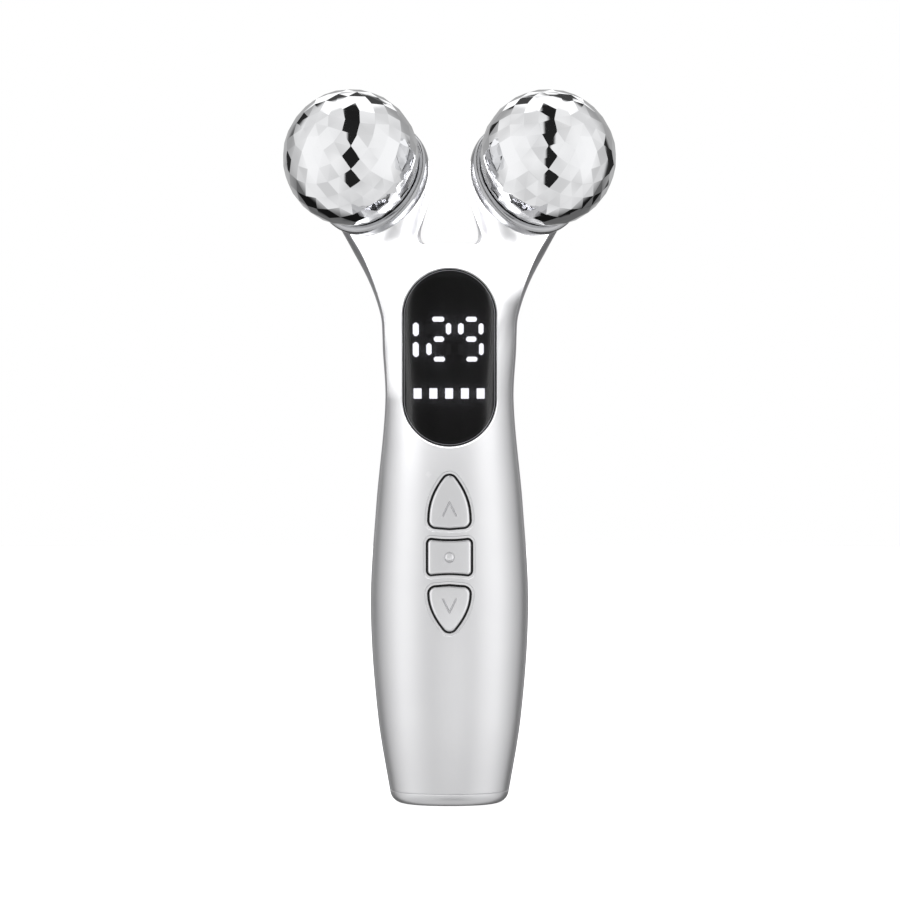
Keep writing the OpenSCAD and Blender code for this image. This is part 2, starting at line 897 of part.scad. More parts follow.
module charge_leads() {
    x = board_w / 2 - 3 * lead_d;
    low = plug_top + seat + board_t;
    rise = 1.6 * lead_d;
    for (s = [-1, 1])
        color(s < 0 ? "red" : "black")
            lead([
                [s * x, 0, low],
                [s * x, 0, low + rise],
                [s * x, lead_y, board_z + rise],
                [s * x, lead_y, board_z + 2.5 * rise]
            ], lead_d);
}

// ---- Balls ----

ball_r = ball_d / 2;
core_r = ball_r - skin_wall;
neck_r = 8.5; // neck of the cup inside the arm's end wall
hub_flange_r = 9.6;
clip_z = -bush_len - 1.2; // place of the retaining clip in the ball's frame
cup_flange_t = 1.3;
nut_z = cup_back + wall + fit + cup_flange_t;
nut_t = 2.2;

// Corners of the ball's facets: rings about its axis, each turned by half a facet.
rings = 14;
function facet_count(a) = max(6, round(facets * sin(a)));
function facet_points(r) = concat(
    [[0, 0, -r]],
    [for (i = [1:rings - 1])
        let (a = 180 * i / rings, n = facet_count(a))
        for (k = [0:n - 1])
            let (b = 360 * (k + (i % 2) / 2) / n)
            [r * sin(a) * cos(b), r * sin(a) * sin(b), -r * cos(a)]]
);

// The plated skin: facets outside, a round hollow inside, open at the flat rear face.
module ball_skin(left) {
    points = facet_points(ball_r);
    mirrored(left) color("gainsboro") ball_frame() difference() {
        hull() polyhedron(points = points, faces = [[for (k = [0:len(points) - 1]) k]]);
        sphere(r = core_r, $fn = 96);
        translate([-big / 2, -big / 2, ball_rear]) cube([big, big, ball_r]);
    }
}

// The core fills the skin and holds the bushes.
module ball_core(left) {
    mirrored(left) color("whitesmoke") ball_frame() difference() {
        intersection() {
            sphere(r = core_r - 0.02, $fn = 96);
            translate([0, 0, -big / 2 + ball_rear]) cube([big, big, big], center = true);
        }
        translate([0, 0, -bush_len]) cylinder(h = big, d = bush_d, $fn = 64);
        translate([0, 0, -bush_len - 4]) cylinder(h = 4 + tiny, d = bush_d + 2, $fn = 64);
    }
}

module bushes(left) {
    mirrored(left) color("goldenrod")
        for (z = [-bush_len, ball_rear - bush_len])
            turned(z, z + bush_len, bush_d / 2, axle_d / 2 + axle_play);
}

// The fixed axle, with a groove for its clip and a thread end behind the nut.
module axle(left) {
    groove_r = axle_d / 2 - 0.4;
    mirrored(left) color("lightgray") ball_frame() difference() {
        translate([0, 0, clip_z - 1])
            cylinder(h = nut_z + terminal_t + nut_t + 1.4 - clip_z, d = axle_d, $fn = 64);
        difference() {
            translate([0, 0, clip_z]) cylinder(h = 0.7, d = axle_d + 1, $fn = 64);
            translate([0, 0, clip_z - 1]) cylinder(h = 3, r = groove_r, $fn = 64);
        }
    }
}

// An open ring in the axle's groove.
module axle_clip(left) {
    mirrored(left) color("dimgray") ball_frame() difference() {
        translate([0, 0, clip_z + seat]) cylinder(h = 0.6, r = axle_d / 2 + 1.4, $fn = 64);
        translate([0, 0, clip_z - 1]) cylinder(h = 3, r = axle_d / 2 - 0.4, $fn = 64);
        translate([0, -0.9, clip_z - 1]) cube([axle_d, 1.8, 3]);
    }
}

washer_t = cup_gap - 2 * seat;

module thrust_washer(left) {
    mirrored(left) color("white")
        turned(ball_rear + seat, ball_rear + seat + washer_t, bush_d / 2 - 0.3, axle_d / 2 + axle_play);
}

// The smooth chrome cup: a round rim just clear of the ball, a floor behind it, a neck
// through the arm's end wall, and a flange that the shells trap.
cup_floor_z = ball_rear + cup_gap;
cup_play = 0.55; // clearance between the rim and the ball
function cup_inner(z) = sqrt(pow(ball_r + cup_play, 2) - z * z);
widest_z = ball_rear - 0.2; // place of the cup's largest radius
module cup(left) {
    rim_z = widest_z - 0.8;
    inner_steps = 4;
    outer_steps = 6;
    flange_z = cup_back + wall + fit;
    profile = concat(
        [for (i = [0:inner_steps])
            let (z = cup_floor_z + (rim_z - cup_floor_z) * i / inner_steps) [cup_inner(z), z]],
        [for (i = [1:outer_steps])
            let (a = 90 - 90 * i / outer_steps)
            [cup_inner(rim_z) + (cup_r - cup_inner(rim_z)) * cos(a), widest_z - (widest_z - rim_z) * sin(a)]],
        [for (i = [1:outer_steps])
            let (a = 90 * i / outer_steps)
            [arm_end_r + (cup_r - arm_end_r) * cos(a), widest_z + (cup_back - widest_z) * sin(a)]],
        [[neck_r, cup_back], [neck_r, flange_z], [hub_flange_r, flange_z], [hub_flange_r, nut_z],
         [axle_d / 2, nut_z], [axle_d / 2, cup_floor_z]]
    );
    seal_in = seal_r - seal_half;
    seal_out = seal_r + seal_half;
    mirrored(left) color("gainsboro") ball_frame() rotate_extrude($fn = 96) difference() {
        polygon(profile);
        translate([seal_in, cup_floor_z - tiny]) square([seal_out - seal_in, seal_deep]);
    }
}

seal_r = 9; // middle radius of the seal's groove in the cup's floor
seal_deep = 0.8;
seal_half = 0.6; // half the groove's width

module cup_seal(left) {
    mirrored(left) color("black")
        turned(
            ball_rear + 2 * seat, cup_floor_z + seal_deep - seat,
            seal_r + seal_half - seat, seal_r - seal_half + seat
        );
}

module axle_nut(left) {
    nut_across = 7;
    mirrored(left) color("silver") ball_frame() difference() {
        translate([0, 0, nut_z + terminal_t + 2 * seat])
            cylinder(h = nut_t, d = nut_across / cos(30), $fn = 6);
        translate([0, 0, nut_z]) cylinder(h = 2 * nut_t, r = axle_d / 2 + seat / 2, $fn = 64);
    }
}

terminal_t = 0.5;
terminal_r = 3.6;
tongue_w = 2.4;
tongue_end = 6.2; // reach of the terminal's tongue from the axle

// A ring under the nut, with a tongue for its lead.
module terminal(left) {
    mirrored(left) color("goldenrod") ball_frame() difference() {
        union() {
            translate([0, 0, nut_z + seat]) cylinder(h = terminal_t, r = terminal_r, $fn = 64);
            translate([terminal_r / 2, -tongue_w / 2, nut_z + seat])
                cube([tongue_end - terminal_r / 2, tongue_w, terminal_t]);
        }
        translate([0, 0, nut_z - 1]) cylinder(h = 3, r = axle_d / 2 + seat / 2, $fn = 64);
    }
}

// Middle of the terminal's tongue, where the lead ends, in the object's frame.
function in_frame(p) =
    let (
        b = 90 - ball_rise,
        c = ball_toe - 90,
        q = [p[0], -p[1], -p[2]],
        r = [q[0] * cos(b) + q[2] * sin(b), q[1], -q[0] * sin(b) + q[2] * cos(b)]
    )
    [r[0] * cos(c) - r[1] * sin(c) + ball_x, r[0] * sin(c) + r[1] * cos(c) - ball_fwd, r[2] + ball_z];

module ball_lead(left) {
    start = in_frame([tongue_end - lead_d, 0, nut_z + terminal_t + seat + lead_d / 2 + seat]);
    end_x = board_w / 2 - lead_d;
    mirrored(left) color("red")
        lead([
            start,
            arm_at(1),
            arm_at(0.6),
            [end_x, lead_y, board_top - 2 * lead_d],
            [end_x, lead_y, board_top - 4 * lead_d]
        ], lead_d);
}

front_shell();
rear_shell();
base_cap();
display_lens();
display_segments();
display_reflector();
up_key();
mode_key();
down_key();
up_plunger();
mode_plunger();
down_plunger();
switch_housings();
main_board();
board_parts();
battery();
battery_holder();
battery_pad();
charging_socket();
charge_board();
shell_screws();
ball_skin(true);  // left_ball_skin
ball_skin(false);  // right_ball_skin
ball_core(true);  // left_ball_core
ball_core(false);  // right_ball_core
bushes(true);  // left_bushes
bushes(false);  // right_bushes
axle(true);  // left_axle
axle(false);  // right_axle
axle_clip(true);  // left_axle_clip
axle_clip(false);  // right_axle_clip
thrust_washer(true);  // left_thrust_washer
thrust_washer(false);  // right_thrust_washer
cup(true);  // left_cup
cup(false);  // right_cup
cup_seal(true);  // left_cup_seal
cup_seal(false);  // right_cup_seal
axle_nut(true);  // left_axle_nut
axle_nut(false);  // right_axle_nut
terminal(true);  // left_terminal
terminal(false);  // right_terminal
ball_lead(true);  // left_ball_lead
ball_lead(false);  // right_ball_lead
battery_leads();
charge_leads();
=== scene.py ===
"""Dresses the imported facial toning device: shells, faceted chrome balls, smoked display, keys and insides.

Lengths are millimetres in the code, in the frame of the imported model, and metres in the finished meshes.
"""

import json
import logging
import math
from dataclasses import dataclass, field
from enum import Enum
from typing import Callable, Iterable, Sequence

import bmesh
import bpy
from mathutils import Matrix, Vector

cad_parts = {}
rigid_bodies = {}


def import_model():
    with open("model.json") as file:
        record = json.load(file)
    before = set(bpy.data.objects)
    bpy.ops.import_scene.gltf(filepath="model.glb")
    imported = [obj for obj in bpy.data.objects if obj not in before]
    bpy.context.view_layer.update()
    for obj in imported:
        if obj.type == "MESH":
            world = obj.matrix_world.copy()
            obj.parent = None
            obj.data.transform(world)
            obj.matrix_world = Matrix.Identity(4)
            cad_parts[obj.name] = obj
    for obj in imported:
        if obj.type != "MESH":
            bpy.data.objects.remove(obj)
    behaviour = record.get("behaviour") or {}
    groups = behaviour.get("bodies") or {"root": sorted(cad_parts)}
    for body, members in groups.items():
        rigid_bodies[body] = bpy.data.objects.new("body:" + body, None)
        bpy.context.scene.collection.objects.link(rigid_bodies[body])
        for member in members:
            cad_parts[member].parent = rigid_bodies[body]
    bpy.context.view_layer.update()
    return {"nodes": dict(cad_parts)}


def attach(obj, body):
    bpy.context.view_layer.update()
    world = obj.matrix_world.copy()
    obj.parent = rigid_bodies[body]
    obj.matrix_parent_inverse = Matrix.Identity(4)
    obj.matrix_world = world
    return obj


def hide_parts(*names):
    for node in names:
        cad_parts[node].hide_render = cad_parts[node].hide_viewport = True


LOG = logging.getLogger("toning_device")
MM = 0.001
Point2 = tuple[float, float]
Point3 = tuple[float, float, float]
Depth = Callable[[float, float], float]
Recipe = Sequence[tuple]


def ramp(value: float, start: float, run: float) -> float:
    """How far a value is past a start, from 0 there to 1 when it has gone the whole run."""
    return min(max((value - start) / run, 0.0), 1.0)


# ---------------------------------------------------------------- colour and nodes


def linear(hex_colour: str) -> tuple[float, float, float, float]:
    """Turns an sRGB hex colour to linear RGBA.

    Args:
        hex_colour: a colour such as "c8c9cb".

    Returns:
        The linear colour with an alpha of 1.
    """
    channels = [int(hex_colour[i : i + 2], 16) / 255 for i in (0, 2, 4)]
    red, green, blue = (c / 12.92 if c <= 0.04045 else ((c + 0.055) / 1.055) ** 2.4 for c in channels)
    return red, green, blue, 1.0


def add_node(
    tree: bpy.types.NodeTree, kind: str, settings: dict | None = None, inputs: dict | None = None
) -> bpy.types.Node:
    """Adds one node with its settings and links.

    Args:
        tree: the node tree that gets the node.
        kind: the node's type name.
        settings: attributes of the node.
        inputs: for each socket, by name or number, a value or the output socket that feeds it.

    Returns:
        The new node.
    """
    node = tree.nodes.new(kind)
    for name, value in (settings or {}).items():
        setattr(node, name, value)
    for name, value in (inputs or {}).items():
        if isinstance(value, bpy.types.NodeSocket):
            tree.links.new(value, node.inputs[name])
        else:
            node.inputs[name].default_value = value
    return node


def wire(
    tree: bpy.types.NodeTree, values: dict[str, bpy.types.NodeSocket], recipe: Recipe
) -> bpy.types.NodeSocket:
    """Adds the nodes of a recipe of numbers.

    Args:
        tree: the node tree that gets them.
        values: the sockets that the recipe starts from, by name.
        recipe: one line for each node, with the name of its result, its operation, and for each of its
            inputs a number or the name of a value.

    Returns:
        The last line's result.
    """
    span = ("Value", "From Min", "From Max", "To Min", "To Max")
    special = {
        "SMOOTH": ("ShaderNodeMapRange", {"interpolation_type": "SMOOTHSTEP"}, span),
        "RAMP": ("ShaderNodeMapRange", {}, span),
        "MIX": ("ShaderNodeMix", {}, (0, 2, 3)),
    }
    known = dict(values)
    result = None
    for name, operation, *given in recipe:
        kind, settings, sockets = special.get(operation, ("ShaderNodeMath", {"operation": operation}, (0, 1)))
        inputs = {socket: known[v] if isinstance(v, str) else v for socket, v in zip(sockets, given)}
        result = known[name] = add_node(tree, kind, settings, inputs).outputs[0]
    return result


# ---------------------------------------------------------------- finishes


@dataclass(frozen=True)
class Finish:
    """A procedural finish: two close colours in soft patches, a fine grain in bump and a varied roughness."""

    name: str
    colour: str
    tint: str
    metallic: float = 0.0
    roughness: float = 0.5
    spread: float = 0.05
    patch_mm: float = 12.0
    grain_mm: float = 0.4
    grain_depth_mm: float = 0.01
    smear_mm: float = 20.0
    ior: float = 1.5
    coat: float = 0.0
    coat_roughness: float = 0.05
    edge_highlight: float = 0.0
    highlight_colour: str = "f2f2f2"
    grain_detail: float = 2.0

    def begin(self) -> tuple[bpy.types.Material, bpy.types.NodeTree, bpy.types.Node]:
        """Makes the material with its shader.

        Returns:
            The material, its node tree and the Principled shader.
        """
        material = bpy.data.materials.new(self.name)
        material.use_nodes = True
        tree = material.node_tree
        shader = tree.nodes["Principled BSDF"]
        shader.inputs["Metallic"].default_value = self.metallic
        if self.metallic < 0.5:
            shader.inputs["IOR"].default_value = self.ior
        shader.inputs["Coat Weight"].default_value = self.coat
        shader.inputs["Coat Roughness"].default_value = self.coat_roughness
        return material, tree, shader

    def colour_socket(self, tree: bpy.types.NodeTree, place: bpy.types.NodeSocket) -> bpy.types.NodeSocket:
        """Soft patches between the two colours, with a painted highlight that brightens the sharp convex
        edges.

        Args:
            tree: the material's node tree.
            place: the Object coordinates.

        Returns:
            The colour output.
        """
        size = {"Vector": place, "Scale": 1 / (self.patch_mm * MM), "Detail": 4.0}
        patches = add_node(tree, "ShaderNodeTexNoise", {}, size).outputs["Fac"]
        blend = {0: patches, 6: linear(self.colour), 7: linear(self.tint)}
        colour = add_node(tree, "ShaderNodeMix", {"data_type": "RGBA"}, blend).outputs[2]
        if not self.edge_highlight:
            return colour
        # Painted highlight: sharp convex edges, found by pointiness, are mixed towards a near-white colour.
        edges = add_node(tree, "ShaderNodeNewGeometry").outputs["Pointiness"]
        recipe = (
            ("edge_lit", "RAMP", "edges", 0.53, 0.6, 0, 1),
            ("edge_lit", "MULTIPLY", "edge_lit", "patches"),
            ("share", "MULTIPLY", "edge_lit", self.edge_highlight),
        )
        share = wire(tree, {"edges": edges, "patches": patches}, recipe)
        blend = {0: share, 6: colour, 7: linear(self.highlight_colour)}
        return add_node(tree, "ShaderNodeMix", {"data_type": "RGBA"}, blend).outputs[2]

    def build(self) -> bpy.types.Material:
        """Makes the material.

        Returns:
            The finished material.
        """
        material, tree, shader = self.begin()
        place = add_node(tree, "ShaderNodeTexCoord").outputs["Object"]
        tree.links.new(self.colour_socket(tree, place), shader.inputs["Base Color"])
        size = {"Vector": place, "Scale": 1 / (self.smear_mm * MM), "Detail": 6.0, "Distortion": 0.6}
        smear = add_node(tree, "ShaderNodeTexNoise", {}, size).outputs["Fac"]
        low, high = max(self.roughness - self.spread, 0.0), self.roughness + self.spread
        rough = wire(tree, {"smear": smear}, [("rough", "RAMP", "smear", 0.3, 0.7, low, high)])
        tree.links.new(rough, shader.inputs["Roughness"])
        drawn, scale = self.drawn(tree, place), 1 / (self.grain_mm * MM)
        size = {"Vector": drawn, "Scale": scale, "Detail": self.grain_detail}
        grain = add_node(tree, "ShaderNodeTexNoise", {}, size).outputs["Fac"]
        depth = {"Height": grain, "Strength": 1.0, "Distance": self.grain_depth_mm * MM}
        tree.links.new(add_node(tree, "ShaderNodeBump", {}, depth).outputs[0], shader.inputs["Normal"])
        return material

    def drawn(self, tree: bpy.types.NodeTree, place: bpy.types.NodeSocket) -> bpy.types.NodeSocket:
        """The coordinates of the grain, which is even in all directions."""
        return place


@dataclass(frozen=True)
class TurnedFinish(Finish):
    """A turned metal, whose grain is drawn out into fine rings across one axis."""

    stretch: float = 12.0

    def drawn(self, tree: bpy.types.NodeTree, place: bpy.types.NodeSocket) -> bpy.types.NodeSocket:
        """The coordinates of the grain, drawn out along one axis.

        Args:
            tree: the material's node tree.
            place: the Object coordinates.

        Returns:
            The drawn-out coordinates.
        """
        scale = {"Vector": place, "Scale": (1.0, self.stretch, 1.0)}
        return add_node(tree, "ShaderNodeMapping", {}, scale).outputs[0]


@dataclass(frozen=True)
class SmokedFinish(Finish):
    """A dark transparent plastic with a hard coat, which alone gives it its soft sheen."""

    coat_ior: float = 1.2

    def begin(self) -> tuple[bpy.types.Material, bpy.types.NodeTree, bpy.types.Node]:
        """Makes the material with a transmitting shader.

        Returns:
            The material, its node tree and the Principled shader.
        """
        material, tree, shader = super().begin()
        shader.inputs["Transmission Weight"].default_value = 1.0
        shader.inputs["Coat IOR"].default_value = self.coat_ior
        return material, tree, shader


@dataclass(frozen=True)
class LitFinish(Finish):
    """A light pipe that glows evenly."""

    glow: float = 0.0

    def begin(self) -> tuple[bpy.types.Material, bpy.types.NodeTree, bpy.types.Node]:
        """Makes the material with a glowing shader.

        Returns:
            The material, its node tree and the Principled shader.
        """
        material, tree, shader = super().begin()
        shader.inputs["Emission Color"].default_value = linear("ffffff")
        shader.inputs["Emission Strength"].default_value = self.glow
        return material, tree, shader


class Finishes(Enum):
    """The object's finishes, each named for what the real one is, and for the light or shade painted into
    some. Grains are sizes on the real surface.
    """

    # ABS, moulded and then sprayed with a satin silver lacquer: broad soft highlights, and a flake so fine
    # that it only dulls them. Its sharp edges carry a painted highlight, a little brighter.
    SATIN = Finish(
        "satin_silver_lacquer", "d2d2d3", "cbcbcd", metallic=1.0, roughness=0.4, spread=0.02, patch_mm=14,
        grain_mm=0.18, grain_depth_mm=0.0009, smear_mm=25, edge_highlight=0.25,
    )
    # The same sprayed lacquer on the rear shell, painted darker as painted shade, so that the seam shows as a
    # change of grey.
    SATIN_REAR = Finish(
        "satin_silver_lacquer_rear_painted_shade", "bdbdbf", "b5b5b8", metallic=1.0, roughness=0.4, spread=0.02,
        patch_mm=14, grain_mm=0.18, grain_depth_mm=0.0009, smear_mm=25, edge_highlight=0.2,
    )
    # Chrome plated on moulded ABS facets: a mirror with a trace of finger smears.
    CHROME = Finish(
        "chrome_plated_facets", "ededee", "e6e7e9", metallic=1.0, roughness=0.03, spread=0.015, patch_mm=8,
        grain_mm=0.6, grain_depth_mm=0.0004, smear_mm=7,
    )
    # Chrome plated on a smooth moulded cup, softer than the facets so that its reflections run together, and
    # painted greyer than them as painted shade.
    CUP = Finish(
        "chrome_plated_cup_painted_shade", "bcbcbe", "b2b3b5", metallic=1.0, roughness=0.2, spread=0.02, patch_mm=8,
        grain_mm=0.5, grain_depth_mm=0.0004, smear_mm=9,
    )
    # Acrylic cast with a smoke tint: nearly black until a figure is lit behind it. Its index is low, because
    # the hard coat alone gives it the soft sheen of the photograph.
    LENS = SmokedFinish(
        "smoked_acrylic", "303032", "2c2c2e", roughness=0.03, spread=0.01, patch_mm=15, grain_mm=0.8,
        grain_depth_mm=0.0002, smear_mm=12, ior=1.08, coat=1.0, coat_roughness=0.22,
    )
    # A thin grey line round the window on the same acrylic: a painted highlight of the lens's chamfer.
    EDGE = Finish(
        "acrylic_edge_painted_highlight", "7c7c80", "747478", roughness=0.4, patch_mm=6, grain_mm=0.3,
        grain_depth_mm=0.002, smear_mm=8,
    )
    # Milky polycarbonate light pipes, moulded and lit white from behind: even, and brighter than the room.
    LIT = LitFinish(
        "lit_light_pipe", "f4f6f8", "eef2f6", roughness=0.4, patch_mm=3, grain_mm=0.3, grain_depth_mm=0.001,
        smear_mm=5, glow=38.0,
    )
    # The same pipes unlit, with the little light that leaks over from their neighbours.
    UNLIT = LitFinish(
        "unlit_light_pipe", "3a3c40", "34363a", patch_mm=3, grain_mm=0.3, grain_depth_mm=0.001, smear_mm=5,
        glow=0.3,
    )
    # ABS moulded in black against a spark-eroded mould: matt, with a fine even texture.
    BLACK = Finish(
        "black_moulded_abs", "161617", "1d1d1f", roughness=0.55, spread=0.06, patch_mm=6, grain_mm=0.25,
        grain_depth_mm=0.008, smear_mm=9,
    )
    # The satin silver lacquer on the keys, which fingers have polished smoother than the shell, painted
    # lighter than the shell's as painted light.
    KEY = Finish(
        "satin_silver_key_painted_light", "d8d8d9", "d1d1d3", metallic=1.0, roughness=0.36, spread=0.02, patch_mm=7,
        grain_mm=0.18, grain_depth_mm=0.0007, smear_mm=12, edge_highlight=0.3,
    )
    # Nylon moulded in its natural white: waxy and slightly cream.
    CORE = Finish(
        "white_nylon", "e4e3dd", "d9d8d1", patch_mm=7, smear_mm=9,
    )
    # Fibreglass board under a cured green solder mask: a thin gloss over a faint weave.
    BOARD = Finish(
        "green_solder_mask", "0e4a25", "125a2e", roughness=0.35, patch_mm=5, grain_mm=0.6, smear_mm=8,
        coat=0.4,
    )
    # Epoxy moulded round the chips: dull black with a fine sandy skin.
    CHIP = Finish(
        "black_epoxy", "1b1b1d", "232326", patch_mm=3, grain_mm=0.2, grain_depth_mm=0.006, smear_mm=5,
    )
    # PVC sleeve shrunk on the cell: blue and shiny, with low creases.
    CELL = Finish(
        "blue_shrink_sleeve", "1f4f96", "1b478a", roughness=0.3, patch_mm=10, grain_mm=1.2,
        grain_depth_mm=0.02, smear_mm=12,
    )
    # Polyurethane foam cut from a block: open cells, quite dull.
    FOAM = Finish(
        "grey_foam", "3c3c3e", "2c2c2e", roughness=0.9, patch_mm=2, grain_mm=0.5, grain_depth_mm=0.15,
        smear_mm=6,
    )
    # Stainless steel turned on a lathe: fine rings, which are drawn four times as coarse as the real feed so
    # that they show.
    STEEL = TurnedFinish(
        "turned_stainless_steel", "b9b9ba", "a9aaac", metallic=1.0, roughness=0.28, patch_mm=5,
        grain_mm=0.48, grain_depth_mm=0.002, smear_mm=6, grain_detail=3.0,
    )
    # Bronze pressed from powder and sintered: matt gold-brown, speckled with oil pores.
    BRONZE = Finish(
        "sintered_bronze", "b08a4e", "94713b", metallic=1.0, roughness=0.42, spread=0.06, patch_mm=0.8,
        grain_mm=0.15, smear_mm=3,
    )
    # Nitrile rubber moulded into a lip seal: black and dull.
    RUBBER = Finish(
        "nitrile_rubber", "121213", "19191a", roughness=0.7, spread=0.06, patch_mm=4, grain_mm=0.3,
        smear_mm=6,
    )
    # Acetal punched into washers: smooth, dense white.
    ACETAL = Finish(
        "white_acetal", "e8e7e2", "dedcd6", roughness=0.4, patch_mm=3, grain_mm=0.3, grain_depth_mm=0.004,
        smear_mm=4,
    )
    # Silicone extruded over the leads: soft red with a faint powdery sheen.
    SLEEVE = Finish(
        "red_silicone_sleeve", "a3201a", "8c1a15", spread=0.06, patch_mm=4, grain_mm=0.5, smear_mm=6,
    )


def dress(piece: bpy.types.Object, finish: Finishes) -> None:
    """Gives a piece or a carried-over node its finish.

    Args:
        piece: the mesh object.
        finish: which finish.
    """
    material = bpy.data.materials.get(finish.value.name) or finish.value.build()
    piece.data.materials.clear()
    piece.data.materials.append(material)


def settle(piece: bpy.types.Object, finish: Finishes, body: str, node: str) -> None:
    """Dresses a finished piece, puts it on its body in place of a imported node, and reports it.

    Args:
        piece: the finished piece.
        finish: its finish.
        body: the body that it rides.
        node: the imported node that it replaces.
    """
    dress(piece, finish)
    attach(piece, body)
    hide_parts(node)
    LOG.info("%s: %d faces on %s", piece.name, len(piece.data.polygons), body)


# ---------------------------------------------------------------- mesh helpers


def loft(
    bm: bmesh.types.BMesh, rings: Sequence[Sequence[Point3]], caps: bool = True
) -> list[bmesh.types.BMVert]:
    """Extrudes a circle's edge from ring to ring and moves each new ring to its section.

    Args:
        bm: the mesh that gets the form.
        rings: the sections in order, all with the same number of points.
        caps: whether the first and the last section are closed.

    Returns:
        The new vertices.
    """
    layer = bm.verts.layers.int.get("station") or bm.verts.layers.int.new("station")
    made = bmesh.ops.create_circle(bm, cap_ends=False, radius=1.0, segments=len(rings[0]))["verts"]
    for k, (vert, co) in enumerate(zip(made, rings[0])):
        vert.co = co
        vert[layer] = k
    edges = list({e for v in made for e in v.link_edges})
    everything = list(made)
    first = edges
    for ring in rings[1:]:
        geometry = bmesh.ops.extrude_edge_only(bm, edges=edges)["geom"]
        verts = [g for g in geometry if isinstance(g, bmesh.types.BMVert)]
        for vert in verts:
            vert.co = ring[vert[layer]]
        everything += verts
        fresh = set(verts)
        made = [g for g in geometry if isinstance(g, bmesh.types.BMEdge)]
        edges = [edge for edge in made if all(v in fresh for v in edge.verts)]
    if caps:
        bmesh.ops.holes_fill(bm, edges=first, sides=0)
        bmesh.ops.holes_fill(bm, edges=edges, sides=0)
    return everything


def as_object(bm: bmesh.types.BMesh, name: str, angle: float = 30.0, scale: float = MM) -> bpy.types.Object:
    """Turns a bmesh in millimetres into an object at the origin, in metres.

    Args:
        bm: the mesh, which is freed.
        name: the piece's name.
        angle: edges sharper than this many degrees stay crisp.
        scale: millimetres to the object's unit.

    Returns:
        The linked object.
    """
    bmesh.ops.recalc_face_normals(bm, faces=bm.faces)
    bmesh.ops.scale(bm, vec=(scale,) * 3, verts=bm.verts)
    mesh = bpy.data.meshes.new(name)
    bm.to_mesh(mesh)
    bm.free()
    for polygon in mesh.polygons:
        polygon.use_smooth = angle > 0
    if angle > 0:
        mesh.set_sharp_from_angle(angle=math.radians(angle))
    piece = bpy.data.objects.new(name, mesh)
    bpy.context.scene.collection.objects.link(piece)
    return piece


def workpiece(bm: bmesh.types.BMesh, name: str) -> bpy.types.Object:
    """A mesh kept in millimetres while it is being worked, with its normals outwards.

    Args:
        bm: the mesh, which is freed.
        name: a working name.

    Returns:
        The object.
    """
    return as_object(bm, name, 0, 1.0)


def apply_all(piece: bpy.types.Object) -> None:
    """Applies every modifier of a working piece.

    Args:
        piece: the object, whose mesh is replaced by the result.
    """
    graph = bpy.context.evaluated_depsgraph_get()
    mesh = bpy.data.meshes.new_from_object(piece.evaluated_get(graph), depsgraph=graph)
    old = piece.data
    piece.modifiers.clear()
    piece.data = mesh
    bpy.data.meshes.remove(old)


class Cut(Enum):
    """What a second form does to the first."""

    AWAY = "DIFFERENCE"
    ADD = "UNION"
    KEEP = "INTERSECT"


def combine(piece: bpy.types.Object, other: bpy.types.Object, cut: Cut, drop: bool = True) -> None:
    """Combines two closed working pieces into the first.

    Args:
        piece: the piece that stays.
        other: the second form.
        cut: what it does to the first.
        drop: whether the second form is removed afterwards.
    """
    step = piece.modifiers.new("step", "BOOLEAN")
    step.operation, step.object, step.solver = cut.value, other, "MANIFOLD"
    apply_all(piece)
    if drop:
        remove(other)


def remove(piece: bpy.types.Object) -> None:
    """Deletes a working piece and its mesh.

    Args:
        piece: the object.
    """
    mesh = piece.data
    bpy.data.objects.remove(piece)
    bpy.data.meshes.remove(mesh)


def copy_of(piece: bpy.types.Object, name: str) -> bpy.types.Object:
    """A second working piece with a mesh of its own.

    Args:
        piece: the object to copy.
        name: the copy's name.

    Returns:
        The copy.
    """
    twin = bpy.data.objects.new(name, piece.data.copy())
    bpy.context.scene.collection.objects.link(twin)
    return twin


def finished(piece: bpy.types.Object, name: str, angle: float = 30.0) -> bpy.types.Object:
    """Turns a working piece in millimetres into the finished one in metres.

    Args:
        piece: the working piece, which is removed.
        name: the finished name.
        angle: edges sharper than this many degrees stay crisp.

    Returns:
        The finished object.
    """
    bm = bmesh.new()
    bm.from_mesh(piece.data)
    remove(piece)
    bmesh.ops.remove_doubles(bm, verts=bm.verts, dist=1e-4)
    bmesh.ops.dissolve_degenerate(bm, edges=bm.edges, dist=1e-4)
    return as_object(bm, name, angle)


def block(low: Point3, high: Point3, name: str) -> bpy.types.Object:
    """A working block between two corners, used only to cut.

    Args:
        low: its lowest corner.
        high: its highest corner.
        name: a working name.

    Returns:
        The working piece.
    """
    bm = bmesh.new()
    bmesh.ops.create_cube(bm, size=1.0)
    size = [b - a for a, b in zip(low, high)]
    bmesh.ops.scale(bm, vec=size, verts=bm.verts)
    bmesh.ops.translate(bm, vec=[(a + b) / 2 for a, b in zip(low, high)], verts=bm.verts)
    return workpiece(bm, name)


def spun(profile: Sequence[Point2], steps: int = 96) -> bmesh.types.BMesh:
    """Spins a closed outline of radius and height about +Z.

    Args:
        profile: the outline's corners, radius first.
        steps: how many steps make the full turn.

    Returns:
        The mesh.
    """
    bm = bmesh.new()
    verts = [bm.verts.new((r, 0.0, z)) for r, z in profile]
    edges = [bm.edges.new((a, b)) for a, b in zip(verts, verts[1:] + verts[:1])]
    bmesh.ops.spin(
        bm, geom=verts + edges, cent=(0, 0, 0), axis=(0, 0, 1), angle=2 * math.pi, steps=steps, use_merge=True
    )
    bmesh.ops.remove_doubles(bm, verts=bm.verts, dist=1e-5)
    bmesh.ops.dissolve_degenerate(bm, edges=bm.edges, dist=1e-6)
    return bm


# ---------------------------------------------------------------- the handle's form


